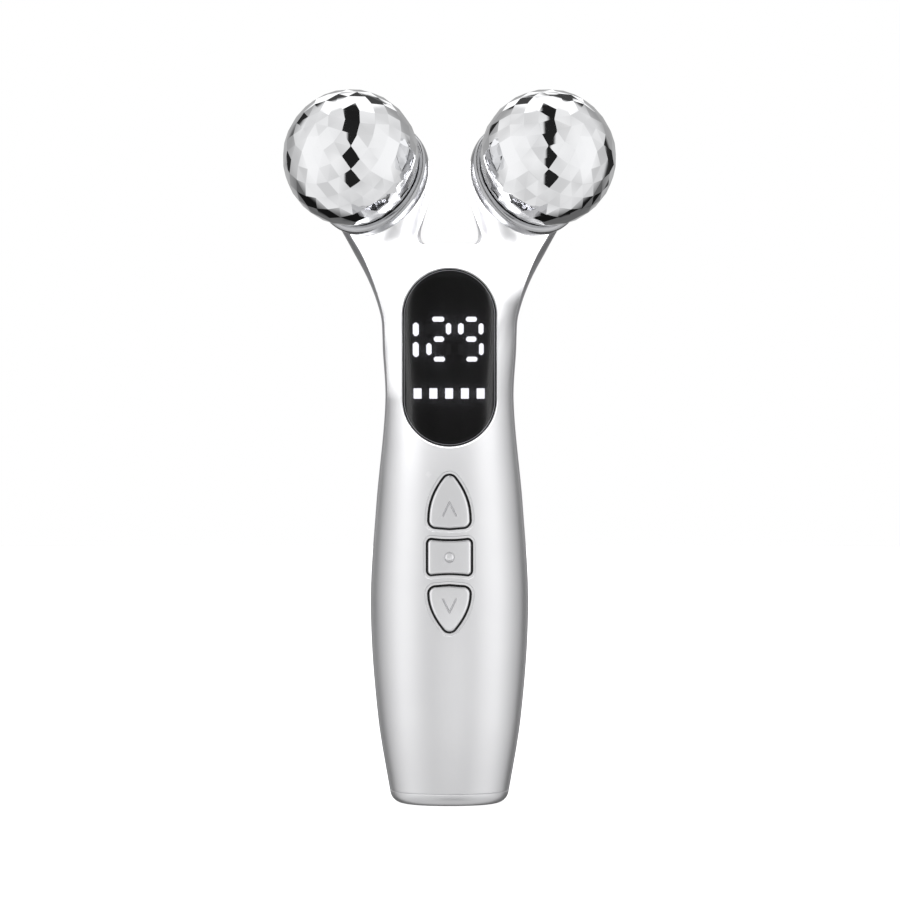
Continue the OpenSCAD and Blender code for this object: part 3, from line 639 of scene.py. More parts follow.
@dataclass
class HandleForm:
    """The smooth form of the handle and arms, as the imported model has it, in millimetres."""

    stations: tuple[Point3, ...] = (
        (0, 13.2, 10.3),
        (20, 16.45, 12.6),
        (45, 18.1, 14.0),
        (68, 16.85, 13.0),
        (92, 14.75, 10.8),
        (107, 15.5, 10.4),
        (127.6, 15.4, 10.3),
    )
    squareness: float = 2.3
    top: float = 127.6
    saddle_r: float = 5.2
    saddle_draw: float = 10.0
    root: Point3 = (7.6, 0.0, 106.0)
    bend: Point3 = (8.6, 0.0, 118.0)
    mid: Point3 = (15.0, 1.8, 129.0)
    root_r: float = 7.2
    root_d: float = 9.6
    mid_r: float = 7.6
    mid_d: float = 9.1
    end_r: float = 12.8
    dome: float = 9.0
    cup_back: float = 12.4

    def slope(self, i: int, column: int) -> float:
        """Slope of a column of the stations at a station.

        Args:
            i: the station's number.
            column: 1 for the half width, 2 for the half depth.

        Returns:
            The change of the column with height.
        """
        a, b = max(i - 1, 0), min(i + 1, len(self.stations) - 1)
        first, last = self.stations[a], self.stations[b]
        return (last[column] - first[column]) / (last[0] - first[0])

    def along(self, z: float, column: int) -> float:
        """A column of the stations at height z, on a smooth curve.

        Args:
            z: the height.
            column: 1 for the half width, 2 for the half depth.

        Returns:
            The value there.
        """
        i = 0
        while i < len(self.stations) - 2 and z >= self.stations[i + 1][0]:
            i += 1
        height = self.stations[i + 1][0] - self.stations[i][0]
        t = (z - self.stations[i][0]) / height
        m0, m1 = self.slope(i, column) * height, self.slope(i + 1, column) * height
        return (
            (2 * t**3 - 3 * t * t + 1) * self.stations[i][column]
            + (t**3 - 2 * t * t + t) * m0
            + (3 * t * t - 2 * t**3) * self.stations[i + 1][column]
            + (t**3 - t * t) * m1
        )

    def front(self, x: float, z: float, inset: float = 0.0) -> float:
        """Distance of the front surface from the middle plane at a place, moved in by inset."""
        w, d = self.along(z, 1) - inset, self.along(z, 2) - inset
        return d * max(1 - min(abs(x) / w, 1.0) ** self.squareness, 0.0) ** (1 / self.squareness)

    def level(self, inset: float = 0.0, out: float = 0.0) -> Depth:
        """The front surface moved in by inset and then straight out, as a depth at each place."""
        return lambda x, z: self.front(x, z, inset) + out

    def section(self, z: float, inset: float, deep: float | None = None, count: int = 160) -> list[Point3]:
        """One closed section at height z.

        Args:
            z: the height.
            inset: how far the sides move in.
            deep: how far the front and back move in, if not the same.
            count: the number of points.

        Returns:
            The points.
        """
        w, d = self.along(z, 1) - inset, self.along(z, 2) - (inset if deep is None else deep)
        power = 2 / self.squareness
        points = []
        for k in range(count):
            a = 2 * math.pi * k / count
            c, s = math.cos(a), math.sin(a)
            points.append((math.copysign(w * abs(c) ** power, c), math.copysign(d * abs(s) ** power, s), z))
        return points

    def handle(self, low: float, inset: float, steps: int = 90) -> bmesh.types.BMesh:
        """The handle with its rounded top, moved in by inset.

        Args:
            low: height of its lower end.
            inset: how far it is moved in.
            steps: the number of sections.

        Returns:
            The closed form.
        """
        bm = bmesh.new()
        top, r = self.top - inset, self.saddle_r - inset / 2
        rings = [self.section(low + (top - r - low) * i / steps, inset) for i in range(steps)]
        for i in range(13):
            a = math.pi / 2 * i / 12
            share = 1 - math.cos(a)
            rings.append(
                self.section(top - r + r * math.sin(a), inset + self.saddle_draw * share, inset + r * share)
            )
        loft(bm, rings)
        return bm

    def arm_at(self, t: float) -> Vector:
        """Centre of the arm at a share t of the way from the handle to its end."""
        root, bend, mid = Vector(self.root), Vector(self.bend), Vector(self.mid)
        return (1 - t) ** 2 * root + 2 * t * (1 - t) * bend + t * t * mid

    def knuckle(self, t: float, inset: float) -> list[Vector]:
        """Points on the rounded form of the arm at share t.

        Args:
            t: the share of the way.
            inset: how far it is moved in.

        Returns:
            The points.
        """
        r = self.root_r + (self.mid_r - self.root_r) * t - inset
        d = self.root_d + (self.mid_d - self.root_d) * t - inset
        bm = bmesh.new()
        place = Matrix.Translation(self.arm_at(t)) @ Matrix.Diagonal((r, d, r, 1))
        bmesh.ops.create_icosphere(bm, subdivisions=4, radius=1.0, matrix=place)
        points = [v.co.copy() for v in bm.verts]
        bm.free()
        return points

    def arm(self, inset: float, side: int, ball: "BallPlace") -> bmesh.types.BMesh:
        """One arm from inside the handle to the cup, as overlapping hulls.

        Args:
            inset: how far it is moved in.
            side: 1 for the right arm and -1 for the left.
            ball: the place of the ball.

        Returns:
            The overlapping closed forms.
        """
        bm = bmesh.new()
        parts = 8
        for i in range(parts):
            hulled(bm, self.knuckle(i / parts, inset) + self.knuckle((i + 1) / parts, inset))
        dome = self.dome - 2 * inset
        base = self.cup_back + (inset if inset else -0.8)
        rings = [(self.end_r - inset, base)]
        rings += [
            ((self.end_r - inset) * math.cos(a) ** 0.7, self.cup_back + inset + dome * math.sin(a))
            for a in (math.radians(d) for d in range(5, 90, 7))
        ]
        rings.append((0.05, self.cup_back + inset + dome))
        points = [ball.matrix(1) @ point for r, z in rings for point in circle(r, z)]
        hulled(bm, points + self.knuckle(1.0, inset))
        if side < 0:
            bmesh.ops.scale(bm, vec=(-1, 1, 1), verts=bm.verts)
            bmesh.ops.reverse_faces(bm, faces=bm.faces)
        return bm


def hulled(bm: bmesh.types.BMesh, points: Iterable[Vector]) -> None:
    """Adds the convex hull of some points as a closed form of its own.

    Args:
        bm: the mesh that gets the hull.
        points: the points.
    """
    verts = [bm.verts.new(p) for p in points]
    result = bmesh.ops.convex_hull(bm, input=verts, use_existing_faces=False)
    loose = [g for g in result["geom_interior"] + result["geom_unused"] if isinstance(g, bmesh.types.BMVert)]
    bmesh.ops.delete(bm, geom=list(set(loose)), context="VERTS")


def circle(radius: float, z: float, count: int = 72) -> list[Vector]:
    """Points on a level circle about the origin.

    Args:
        radius: its radius.
        z: its height.
        count: the number of points.

    Returns:
        The points.
    """
    angles = (2 * math.pi * k / count for k in range(count))
    return [Vector((radius * math.cos(a), radius * math.sin(a), z)) for a in angles]


@dataclass
class BallPlace:
    """Where a ball sits. Its frame has +Z running back along the axle."""

    x: float = 22.2
    fwd: float = 11.5
    z: float = 146.7
    toe: float = 32.0
    rise: float = 24.0

    def matrix(self, side: int) -> Matrix:
        """The ball's frame in the object's frame.

        Args:
            side: 1 for the right ball and -1 for the left.

        Returns:
            The matrix, mirrored for the left ball.
        """
        lean = Matrix.Rotation(math.radians(90 - self.rise), 4, "Y")
        turn = Matrix.Rotation(math.radians(self.toe - 90), 4, "Z") @ lean
        place = Matrix.Translation((self.x, -self.fwd, self.z)) @ turn @ Matrix.Rotation(math.pi, 4, "X")
        return Matrix.Diagonal((side, 1, 1, 1)) @ place


FORM = HandleForm()
BALL = BallPlace()


# ---------------------------------------------------------------- outlines on the front


@dataclass
class Outline:
    """A closed outline on the handle's front, as points of width and height with the way out at each."""

    points: list[Point2]
    ways: list[Point2]

    @staticmethod
    def round_circles(circles: Sequence[tuple[float, float, float]], count: int = 144) -> "Outline":
        """The outline stretched round some circles.

        Args:
            circles: the centres and radii.
            count: the rough number of points.

        Returns:
            The outline, with points along its straight stretches too.
        """
        points: list[Point2] = []
        ways: list[Point2] = []
        last = None
        for k in range(count + 1):
            a = 2 * math.pi * k / count
            way = (math.cos(a), math.sin(a))
            cx, cz, r = max(circles, key=lambda c: c[0] * way[0] + c[1] * way[1] + c[2])
            point = (cx + r * way[0], cz + r * way[1])
            if last is not None:
                gap = math.dist(last, point)
                extra = int(gap / 0.45)
                for j in range(1, extra + 1):
                    t = j / (extra + 1)
                    points.append((last[0] + (point[0] - last[0]) * t, last[1] + (point[1] - last[1]) * t))
                    ways.append(way)
            if k < count:
                points.append(point)
                ways.append(way)
            last = point
        return Outline(points, ways)

    def grown(self, grow: float) -> list[Point2]:
        """The outline moved out all round."""
        return [(x + grow * u, z + grow * w) for (x, z), (u, w) in zip(self.points, self.ways)]

    def middle(self) -> Point2:
        """The middle of the outline's box."""
        xs, zs = [p[0] for p in self.points], [p[1] for p in self.points]
        return (min(xs) + max(xs)) / 2, (min(zs) + max(zs)) / 2

    def shrunk(self, grow: float, share: float, core: float = 0.0) -> list[Point2]:
        """The outline drawn in towards its middle, or towards an upright line for a tall one.

        Args:
            grow: how far it is first moved out.
            share: 1 for the whole outline and 0 for the middle.
            core: half height of the upright line.

        Returns:
            The points.
        """
        mx, mz = self.middle()
        made = []
        for x, z in self.grown(grow):
            aim = mz + max(-core, min(core, z - mz))
            made.append((mx + (x - mx) * share, aim + (z - aim) * share))
        return made


def arrow_outline(low: float, height: float, bow: float, up: bool, width: float = 10.1) -> Outline:
    """The rounded triangle of the up or down key's hole.

    Args:
        low: height of its lower end.
        height: its height.
        bow: how full its sides are, where 1 is straight.
        up: whether its narrow end is up.
        width: its width.

    Returns:
        The outline.
    """
    corner_r, bulge = 2.0, 0.25
    foot_x, foot_z = width / 2 - corner_r, corner_r + bulge
    rise = height - corner_r - foot_z
    circles = [(0.0, corner_r, corner_r)]
    for u in (0.0, 0.15, 0.3, 0.42, 0.55, 0.65, 0.75, 0.83, 0.9, 1.0):
        circles += [(s * foot_x * (1 - u**bow), foot_z + u * rise, corner_r) for s in (-1, 1)]
    return Outline.round_circles([(x, low + (z if up else height - z), r) for x, z, r in circles])


def mode_outline(low: float = 52.3, height: float = 8.8, width: float = 10.7) -> Outline:
    """The rounded rectangle of the middle key's hole, its top and bottom drawn in a little.

    Args:
        low: height of its lower end.
        height: its height.
        width: its width.

    Returns:
        The outline.
    """
    r, dip, bow = 1.4, 0.3, 30.0
    mid = low + height / 2
    corners = [(sx * (width / 2 - r), mid + sz * (height / 2 - r), r) for sx in (-1, 1) for sz in (-1, 1)]
    outline = Outline.round_circles(corners)
    drawn = []
    for x, z in outline.points:
        limit = height / 2 + bow - dip - math.sqrt(bow * bow - x * x)
        drawn.append((x, mid + max(-limit, min(limit, z - mid))))
    return Outline(drawn, outline.ways)


def stadium(width: float, height: float, mid: float) -> Outline:
    """An upright outline with round ends.

    Args:
        width: its width.
        height: its height.
        mid: height of its middle.

    Returns:
        The outline.
    """
    r = width / 2
    return Outline.round_circles([(0.0, mid + s * (height / 2 - r), r) for s in (-1, 1)], 180)


def flat(depth: float) -> Depth:
    """The same depth at every place."""
    return lambda x, z: depth


def ring_at(points: Iterable[Point2], depth: Depth) -> list[Point3]:
    """Puts flat points at a depth in front of the middle plane.

    Args:
        points: places of width and height.
        depth: gives the distance in front of the middle plane.

    Returns:
        The points in space.
    """
    return [(x, -depth(x, z), z) for x, z in points]


# ---------------------------------------------------------------- the shells


@dataclass
class Shells:
    """The two satin shells of the handle and arms."""

    wall: float = 1.8
    seam: float = 3.5
    groove_w: float = 0.26
    groove_d: float = 0.3
    voxel: float = 0.5
    low: float = 3.04
    rim: Point2 = (0.6, 0.2)
    window_rim: Point2 = (0.22, 0.22)
    back: float = 13.99
    screws: tuple[Point2, ...] = ((-11.9, 30), (11.9, 30), (-11.2, 79), (11.2, 79))
    boss_r: float = 2.05
    sink_r: float = 2.2
    screw_r: float = 1.05
    screw_seat: float = 6.0
    screw_hole: float = 4.4
    seam_gap: float = 0.02
    seat_r: float = 14.1
    neck_r: float = 8.6
    lens_gap: float = 0.15
    lens_ledge: float = 1.2
    lens_t: float = 1.1
    spine: float = 9.0
    clear: float = 18.0
    far: float = 60.0
    over: float = 180.0
    # Where the junction is softened: from which height and over how much, up to the free arms.
    junction: Point2 = (100.0, 8.0)
    arms_free: Point2 = (128.0, 7.0)
    # Where the drawing back onto the handle's curve fades out: at the top, and beside the arms.
    curve_end: Point2 = (117.0, 5.0)
    fork: Point2 = (99.0, 7.0)
    fork_x: Point2 = (11.5, 1.5)

    def form(self, inset: float, voxel: float, low: float) -> bpy.types.Object:
        """The handle and both arms as one closed form.

        Args:
            inset: how far it is moved in.
            voxel: the size of the cells that join the pieces.
            low: height of its lower end.

        Returns:
            The working piece.
        """
        bm = FORM.handle(low, inset)
        bmesh.ops.recalc_face_normals(bm, faces=bm.faces)
        piece = workpiece(bm, "form")
        for side in (-1, 1):
            arm = FORM.arm(inset, side, BALL)
            join = bmesh.new()
            join.from_mesh(piece.data)
            scratch = bpy.data.meshes.new("scratch")
            arm.to_mesh(scratch)
            arm.free()
            join.from_mesh(scratch)
            join.to_mesh(piece.data)
            join.free()
            bpy.data.meshes.remove(scratch)
        step = piece.modifiers.new("join", "REMESH")
        step.mode, step.voxel_size, step.use_smooth_shade = "VOXEL", voxel, True
        apply_all(piece)
        return piece

    def smoothed(self, piece: bpy.types.Object) -> None:
        """Softens the junction of arms and handle, then draws the handle back onto its exact curve.

        Args:
            piece: the outer form.
        """
        group = piece.vertex_groups.new(name="soft")
        for v in piece.data.vertices:
            share = ramp(v.co.z, *self.junction) * (1.0 - 0.9 * ramp(v.co.z, *self.arms_free))
            group.add([v.index], max(share, 0.12), "REPLACE")
        step = piece.modifiers.new("soft", "SMOOTH")
        step.factor, step.iterations, step.vertex_group = 0.5, 70, "soft"
        apply_all(piece)
        bm = bmesh.new()
        bm.from_mesh(piece.data)
        n = FORM.squareness
        for v in bm.verts:
            x, y, z = v.co
            if z < self.low or z > FORM.top - FORM.saddle_r:
                continue
            f = (abs(x) / FORM.along(z, 1)) ** n + (abs(y) / FORM.along(z, 2)) ** n
            if f <= 0:
                continue
            s = f ** (-1 / n)
            # Only points already close to the curve are drawn to it, and none where the arms leave it.
            off = math.hypot(x, y) * abs(1 - s)
            share = (1.0 - ramp(off, 0.12, 0.4)) * (1.0 - ramp(z, *self.curve_end))
            share *= 1.0 - ramp(z, *self.fork) * ramp(abs(x), *self.fork_x)
            v.co.x, v.co.y = x * (1 + (s - 1) * share), y * (1 + (s - 1) * share)
        for v in bm.verts:
            v.co.y = min(v.co.y, self.back)
        bm.to_mesh(piece.data)
        bm.free()

    def moved_in(self, piece: bpy.types.Object, inset: float) -> bpy.types.Object:
        """A copy of a form, each point moved in along its normal.

        Args:
            piece: the form.
            inset: how far the points move.

        Returns:
            The copy.
        """
        twin = copy_of(piece, "moved_in")
        bm = bmesh.new()
        bm.from_mesh(twin.data)
        bm.normal_update()
        for v in bm.verts:
            v.co -= v.normal * inset
        bm.to_mesh(twin.data)
        bm.free()
        return twin

    def rod(self, at: Point2, y0: float, y1: float, r: float) -> bpy.types.Object:
        """A rod along the depth at a screw, used to cut or add.

        Args:
            at: the screw's place.
            y0: its front end.
            y1: its rear end.
            r: its radius.

        Returns:
            The working piece.
        """
        bm = spun([(0.0, y0), (r, y0), (r, y1), (0.0, y1)], 48)
        bmesh.ops.rotate(bm, cent=(0, 0, 0), matrix=Matrix.Rotation(-math.pi / 2, 3, "X"), verts=bm.verts)
        bmesh.ops.translate(bm, vec=(at[0], 0, at[1]), verts=bm.verts)
        return workpiece(bm, "rod")

    def funnel(self, outline: Outline, rim: Point2, floor: float | None = None) -> bpy.types.Object:
        """A cutter that opens the front along an outline with a chamfered rim.

        Args:
            outline: the hole's outline.
            rim: width and depth of the chamfer.
            floor: depth of a curved floor below the surface, or None for a through hole.

        Returns:
            The working piece.
        """
        wide, deep = rim
        if floor is None:
            rings = [ring_at(outline.grown(0), flat(self.seam + 1.0))]
        else:
            shares = (0.03, 0.3, 0.6, 0.85, 1.0)
            rings = [ring_at(outline.shrunk(0, s, self.spine), FORM.level(floor)) for s in shares]
        rings.append(ring_at(outline.grown(0), FORM.level(0.0, -deep)))
        rings.append(ring_at(outline.grown(0.8 * wide), FORM.level(0.0, -0.65 * deep)))
        rings.append(ring_at(outline.grown(wide), FORM.level()))
        rings.append(ring_at(outline.grown(wide), flat(self.clear)))
        bm = bmesh.new()
        loft(bm, rings)
        bmesh.ops.triangulate(bm, faces=bm.faces)
        return workpiece(bm, "funnel")

    def seat(self, side: int) -> list[bpy.types.Object]:
        """The cutters for a cup's flat seat and its neck's hole.

        Args:
            side: 1 for right and -1 for left.

        Returns:
            The two working pieces.
        """
        made = []
        back = FORM.cup_back
        for r, z0, z1 in ((self.seat_r, -2.0, back), (self.neck_r, back - 1, back + self.wall + 1)):
            bm = spun([(0.0, z0), (r, z0), (r, z1), (0.0, z1)])
            bmesh.ops.transform(bm, matrix=BALL.matrix(side), verts=bm.verts)
            made.append(workpiece(bm, "seat"))
        return made

    def build(self, display: "Display", keypad: "KeyPad") -> None:
        """Builds, dresses and places both shells.

        Args:
            display: gives the window's outline.
            keypad: gives the keys' outlines.
        """
        outer = self.form(0.0, self.voxel, 1.5)
        self.smoothed(outer)
        inner = self.form(self.wall, 1.0, 0.5)
        shell = copy_of(outer, "shell")
        combine(shell, inner, Cut.AWAY, False)
        # The bosses end inside the wall, so that their ends leave no mark on the outside.
        core = self.moved_in(outer, self.groove_d)
        for at in self.screws:
            end, thick_r = self.clear + 2, self.sink_r + 1.0
            for y0, y1, r in ((-end, -self.seam, self.boss_r), (-self.seam, end, thick_r)):
                boss = self.rod(at, y0, y1, r)
                combine(boss, core, Cut.KEEP, False)
                combine(shell, boss, Cut.ADD)
        # The fine groove along the seam is the skin's outer layer cut by a thin sheet.
        half = self.groove_w / 2
        far, over = self.far, self.over
        sheet = block((-far, -self.seam - half, 0), (far, -self.seam + half, over), "sheet")
        combine(sheet, core, Cut.AWAY)
        combine(shell, sheet, Cut.AWAY)
        for side in (-1, 1):
            for cutter in self.seat(side):
                combine(shell, cutter, Cut.AWAY)
        rear = copy_of(shell, "rear")
        gap = self.seam_gap / 2
        combine(rear, block((-far, -self.seam + gap, self.low), (far, far, over), "half"), Cut.KEEP)
        combine(shell, block((-far, -far, self.low), (far, -self.seam - gap, over), "half"), Cut.KEEP)
        for at in self.screws:
            combine(rear, self.rod(at, -self.seam - 1, self.clear + 2, self.screw_r), Cut.AWAY)
            combine(rear, self.rod(at, -self.seam + self.screw_seat, self.clear + 2, self.sink_r), Cut.AWAY)
            combine(shell, self.rod(at, -self.seam - self.screw_hole, -self.seam + 1, self.screw_r), Cut.AWAY)
        self.open_front(shell, display.outline(), keypad.outlines())
        remove(inner)
        remove(outer)
        front, back = finished(shell, "front_shell_satin", 32), finished(rear, "rear_shell_satin", 32)
        settle(front, Finishes.SATIN, "root", "front_shell")
        # The rear shell takes the darker copy of the lacquer, its painted shade.
        settle(back, Finishes.SATIN_REAR, "root", "rear_shell")

    def open_front(self, shell: bpy.types.Object, window: Outline, keys: Sequence[Outline]) -> None:
        """Cuts the window with the ledge that its lens lies on, and the keys' holes.

        Args:
            shell: the front shell.
            window: the lens's outline.
            keys: the outlines of the keys' holes.
        """
        pocket = Outline(window.grown(self.lens_gap), window.ways)
        through = Outline(window.grown(-self.lens_ledge), window.ways)
        combine(shell, self.funnel(pocket, self.window_rim, self.lens_t + 0.06), Cut.AWAY)
        combine(shell, self.funnel(through, (0.01, 0.01)), Cut.AWAY)
        for outline in keys:
            combine(shell, self.funnel(outline, self.rim), Cut.AWAY)


@dataclass
class BaseCap:
    """The light cap under the handle, with its plug and the mouth of the charging socket."""

    height: float = 3.0
    round_r: float = 2.3
    floor: float = 2.2
    plug_top: float = 7.2
    plug_inset: float = 1.9
    plug_wall: float = 1.4
    mouth_w: float = 8.9
    mouth_d: float = 3.2
    mouth_gap: float = 0.1
    mouth_flare: float = 1.3
    flare_z: float = 0.3
    seam_z: float = 0.25
    seam_in: float = 0.2

    def build(self) -> None:
        """Builds, dresses and places the cap."""
        bm = bmesh.new()
        rings = []
        for i in range(9):
            a = math.pi / 2 * (1 - i / 8)
            inset = self.round_r * (1 - math.cos(a))
            rings.append(FORM.section(self.round_r * (1 - math.sin(a)), inset))
        rings += [
            FORM.section(self.height - self.seam_z, 0.0),
            FORM.section(self.height, self.seam_in),
            FORM.section(self.height, self.plug_inset),
            FORM.section(self.plug_top, self.plug_inset),
            FORM.section(self.plug_top, self.plug_inset + self.plug_wall),
            FORM.section(self.floor, self.plug_inset + self.plug_wall),
        ]
        loft(bm, rings)
        cap = workpiece(bm, "cap")
        r = self.mouth_d / 2 + self.mouth_gap
        ends = (self.mouth_w - self.mouth_d) / 2
        mouth = Outline.round_circles([(-ends, 0.0, r), (ends, 0.0, r)], 96)
        cutter = bmesh.new()
        rings = [
            [(x, y, -1.0) for x, y in mouth.grown(self.mouth_flare)],
            [(x, y, self.flare_z) for x, y in mouth.grown(0)],
            [(x, y, self.floor + 2) for x, y in mouth.grown(0)],
        ]
        loft(cutter, rings)
        combine(cap, workpiece(cutter, "mouth"), Cut.AWAY)
        settle(finished(cap, "base_cap_satin"), Finishes.SATIN, "root", "base_cap")


# ---------------------------------------------------------------- display


@dataclass
class Display:
    """The smoked window with its lit and unlit figures."""

    width: float = 21.3
    height: float = 40.2
    mid: float = 101.7
    thick: float = 1.1
    sunk: float = 0.05
    rim: float = 0.3
    chamfer: float = 0.05
    spine: float = 9.4
    pipe_back: float = 5.4
    pipe_gap: float = 0.12
    # The bottom and the top of each row of bars.
    rows: tuple[tuple[str, Point2], ...] = (
        ("top", (110.05, 111.0)),
        ("high", (107.16, 109.53)),
        ("middle", (105.46, 106.52)),
        ("low", (102.46, 105.01)),
        ("bottom", (100.92, 101.94)),
        ("high_one", (106.77, 109.69)),
        ("low_one", (102.0, 105.28)),
        ("squares", (92.49, 94.79)),
    )
    # The row, the left and the right of each lit bar: a one, a two and a nine, as on any such display.
    lit: tuple[tuple[str, float, float], ...] = (
        ("high_one", -8.3, -6.98),
        ("low_one", -8.3, -6.98),
        ("top", -3.91, -1.2),
        ("high", -0.81, 0.38),
        ("middle", -3.55, -1.24),
        ("low", -5.24, -4.07),
        ("bottom", -3.55, -1.02),
        ("top", 3.75, 6.19),
        ("high", 1.94, 3.19),
        ("high", 6.62, 7.69),
        ("middle", 3.78, 6.1),
        ("low", 6.71, 7.73),
        ("bottom", 3.84, 6.31),
    )
    unlit: tuple[tuple[str, float, float], ...] = (
        ("high", -5.24, -4.07),
        ("low", -0.81, 0.38),
        ("low", 1.94, 3.19),
    )
    squares: int = 5
    square_left: float = -8.12
    square_w: float = 1.79
    square_pitch: float = 3.57

    def outline(self) -> Outline:
        """The lens's outline."""
        return stadium(self.width, self.height, self.mid)

    def lens(self) -> bpy.types.Object:
        """The lens, curved with the handle's front and chamfered round its rim.

        Returns:
            The finished object.
        """
        outline, rim = self.outline(), self.rim
        face, back = FORM.level(self.sunk), FORM.level(self.thick)
        shares = (0.02, 0.12, 0.25, 0.4, 0.55, 0.7, 0.82, 0.92)
        rings = [ring_at(outline.shrunk(-rim, s, self.spine), back) for s in shares]
        rings.append(ring_at(outline.grown(-self.chamfer), back))
        rings.append(ring_at(outline.grown(0), FORM.level(self.thick, self.chamfer)))
        rings.append(ring_at(outline.grown(0), FORM.level(self.sunk, -rim * 0.7)))
        rings.append(ring_at(outline.grown(-rim * 0.3), FORM.level(self.sunk, -rim * 0.25)))
        rings.append(ring_at(outline.grown(-rim), face))
        rings += [ring_at(outline.shrunk(-rim, s, self.spine), face) for s in reversed(shares)]
        bm = bmesh.new()
        loft(bm, rings)
        return as_object(bm, "display_lens_smoked", 20)

    def edge(self) -> bpy.types.Object:
        """The grey line just inside the lens's rim, a painted highlight of its chamfer.

        Returns:
            The finished object.
        """
        outline = self.outline()
        across = ((-0.3, -0.1), (-0.31, 0.02), (-0.37, 0.03), (-0.43, 0.02), (-0.44, -0.1))
        bm = bmesh.new()
        rings = [ring_at(outline.grown(grow), FORM.level(self.sunk, up)) for grow, up in across]
        made = [[bm.verts.new(point) for point in ring] for ring in rings]
        for low, high in zip(made, made[1:] + made[:1]):
            for k in range(len(low)):
                bm.faces.new((low[k - 1], low[k], high[k], high[k - 1]))
        return as_object(bm, "display_lens_edge", 60)

    def pipe(self, bm: bmesh.types.BMesh, row: str, left: float, right: float, share: float) -> None:
        """One light pipe, with clipped corners.

        Args:
            bm: the mesh that gets it.
            row: the name of its row.
            left: its left side.
            right: its right side.
            share: how much of its narrower side each corner loses.
        """
        bottom, top = dict(self.rows)[row]
        clip = min(right - left, top - bottom) * share
        corners = [(left + clip, bottom), (right - clip, bottom), (right, bottom + clip), (right, top - clip)]
        corners += [(right - clip, top), (left + clip, top), (left, top - clip), (left, bottom + clip)]
        ends = (flat(self.pipe_back), FORM.level(self.thick + self.pipe_gap))
        loft(bm, [ring_at(corners, end) for end in ends])

    def figures(self, name: str, bars: Sequence[tuple[str, float, float]], squares: int) -> bpy.types.Object:
        """The bars and the squares of one kind.

        Args:
            name: the finished name.
            bars: the bars' rows and sides.
            squares: how many squares stand in the row below.

        Returns:
            The finished object.
        """
        bm = bmesh.new()
        for row, left, right in bars:
            self.pipe(bm, row, left, right, 0.34)
        for k in range(squares):
            left = self.square_left + k * self.square_pitch
            self.pipe(bm, "squares", left, left + self.square_w, 0.04)
        return as_object(bm, name)

    def build(self) -> None:
        """Builds, dresses and places the lens and the figures."""
        # The edge piece carries the painted highlight of the lens's chamfer.
        for piece, finish in ((self.lens(), Finishes.LENS), (self.edge(), Finishes.EDGE)):
            settle(piece, finish, "root", "display_lens")
        lit = self.figures("display_figures_lit", self.lit, self.squares)
        unlit = self.figures("display_figures_unlit", self.unlit, 0)
        settle(lit, Finishes.LIT, "root", "display_segments")
        settle(unlit, Finishes.UNLIT, "root", "display_segments")


# ---------------------------------------------------------------- keys


class Sign(Enum):
    """The sign engraved in a key."""

    UP = 1
    DOT = 2
    DOWN = 3


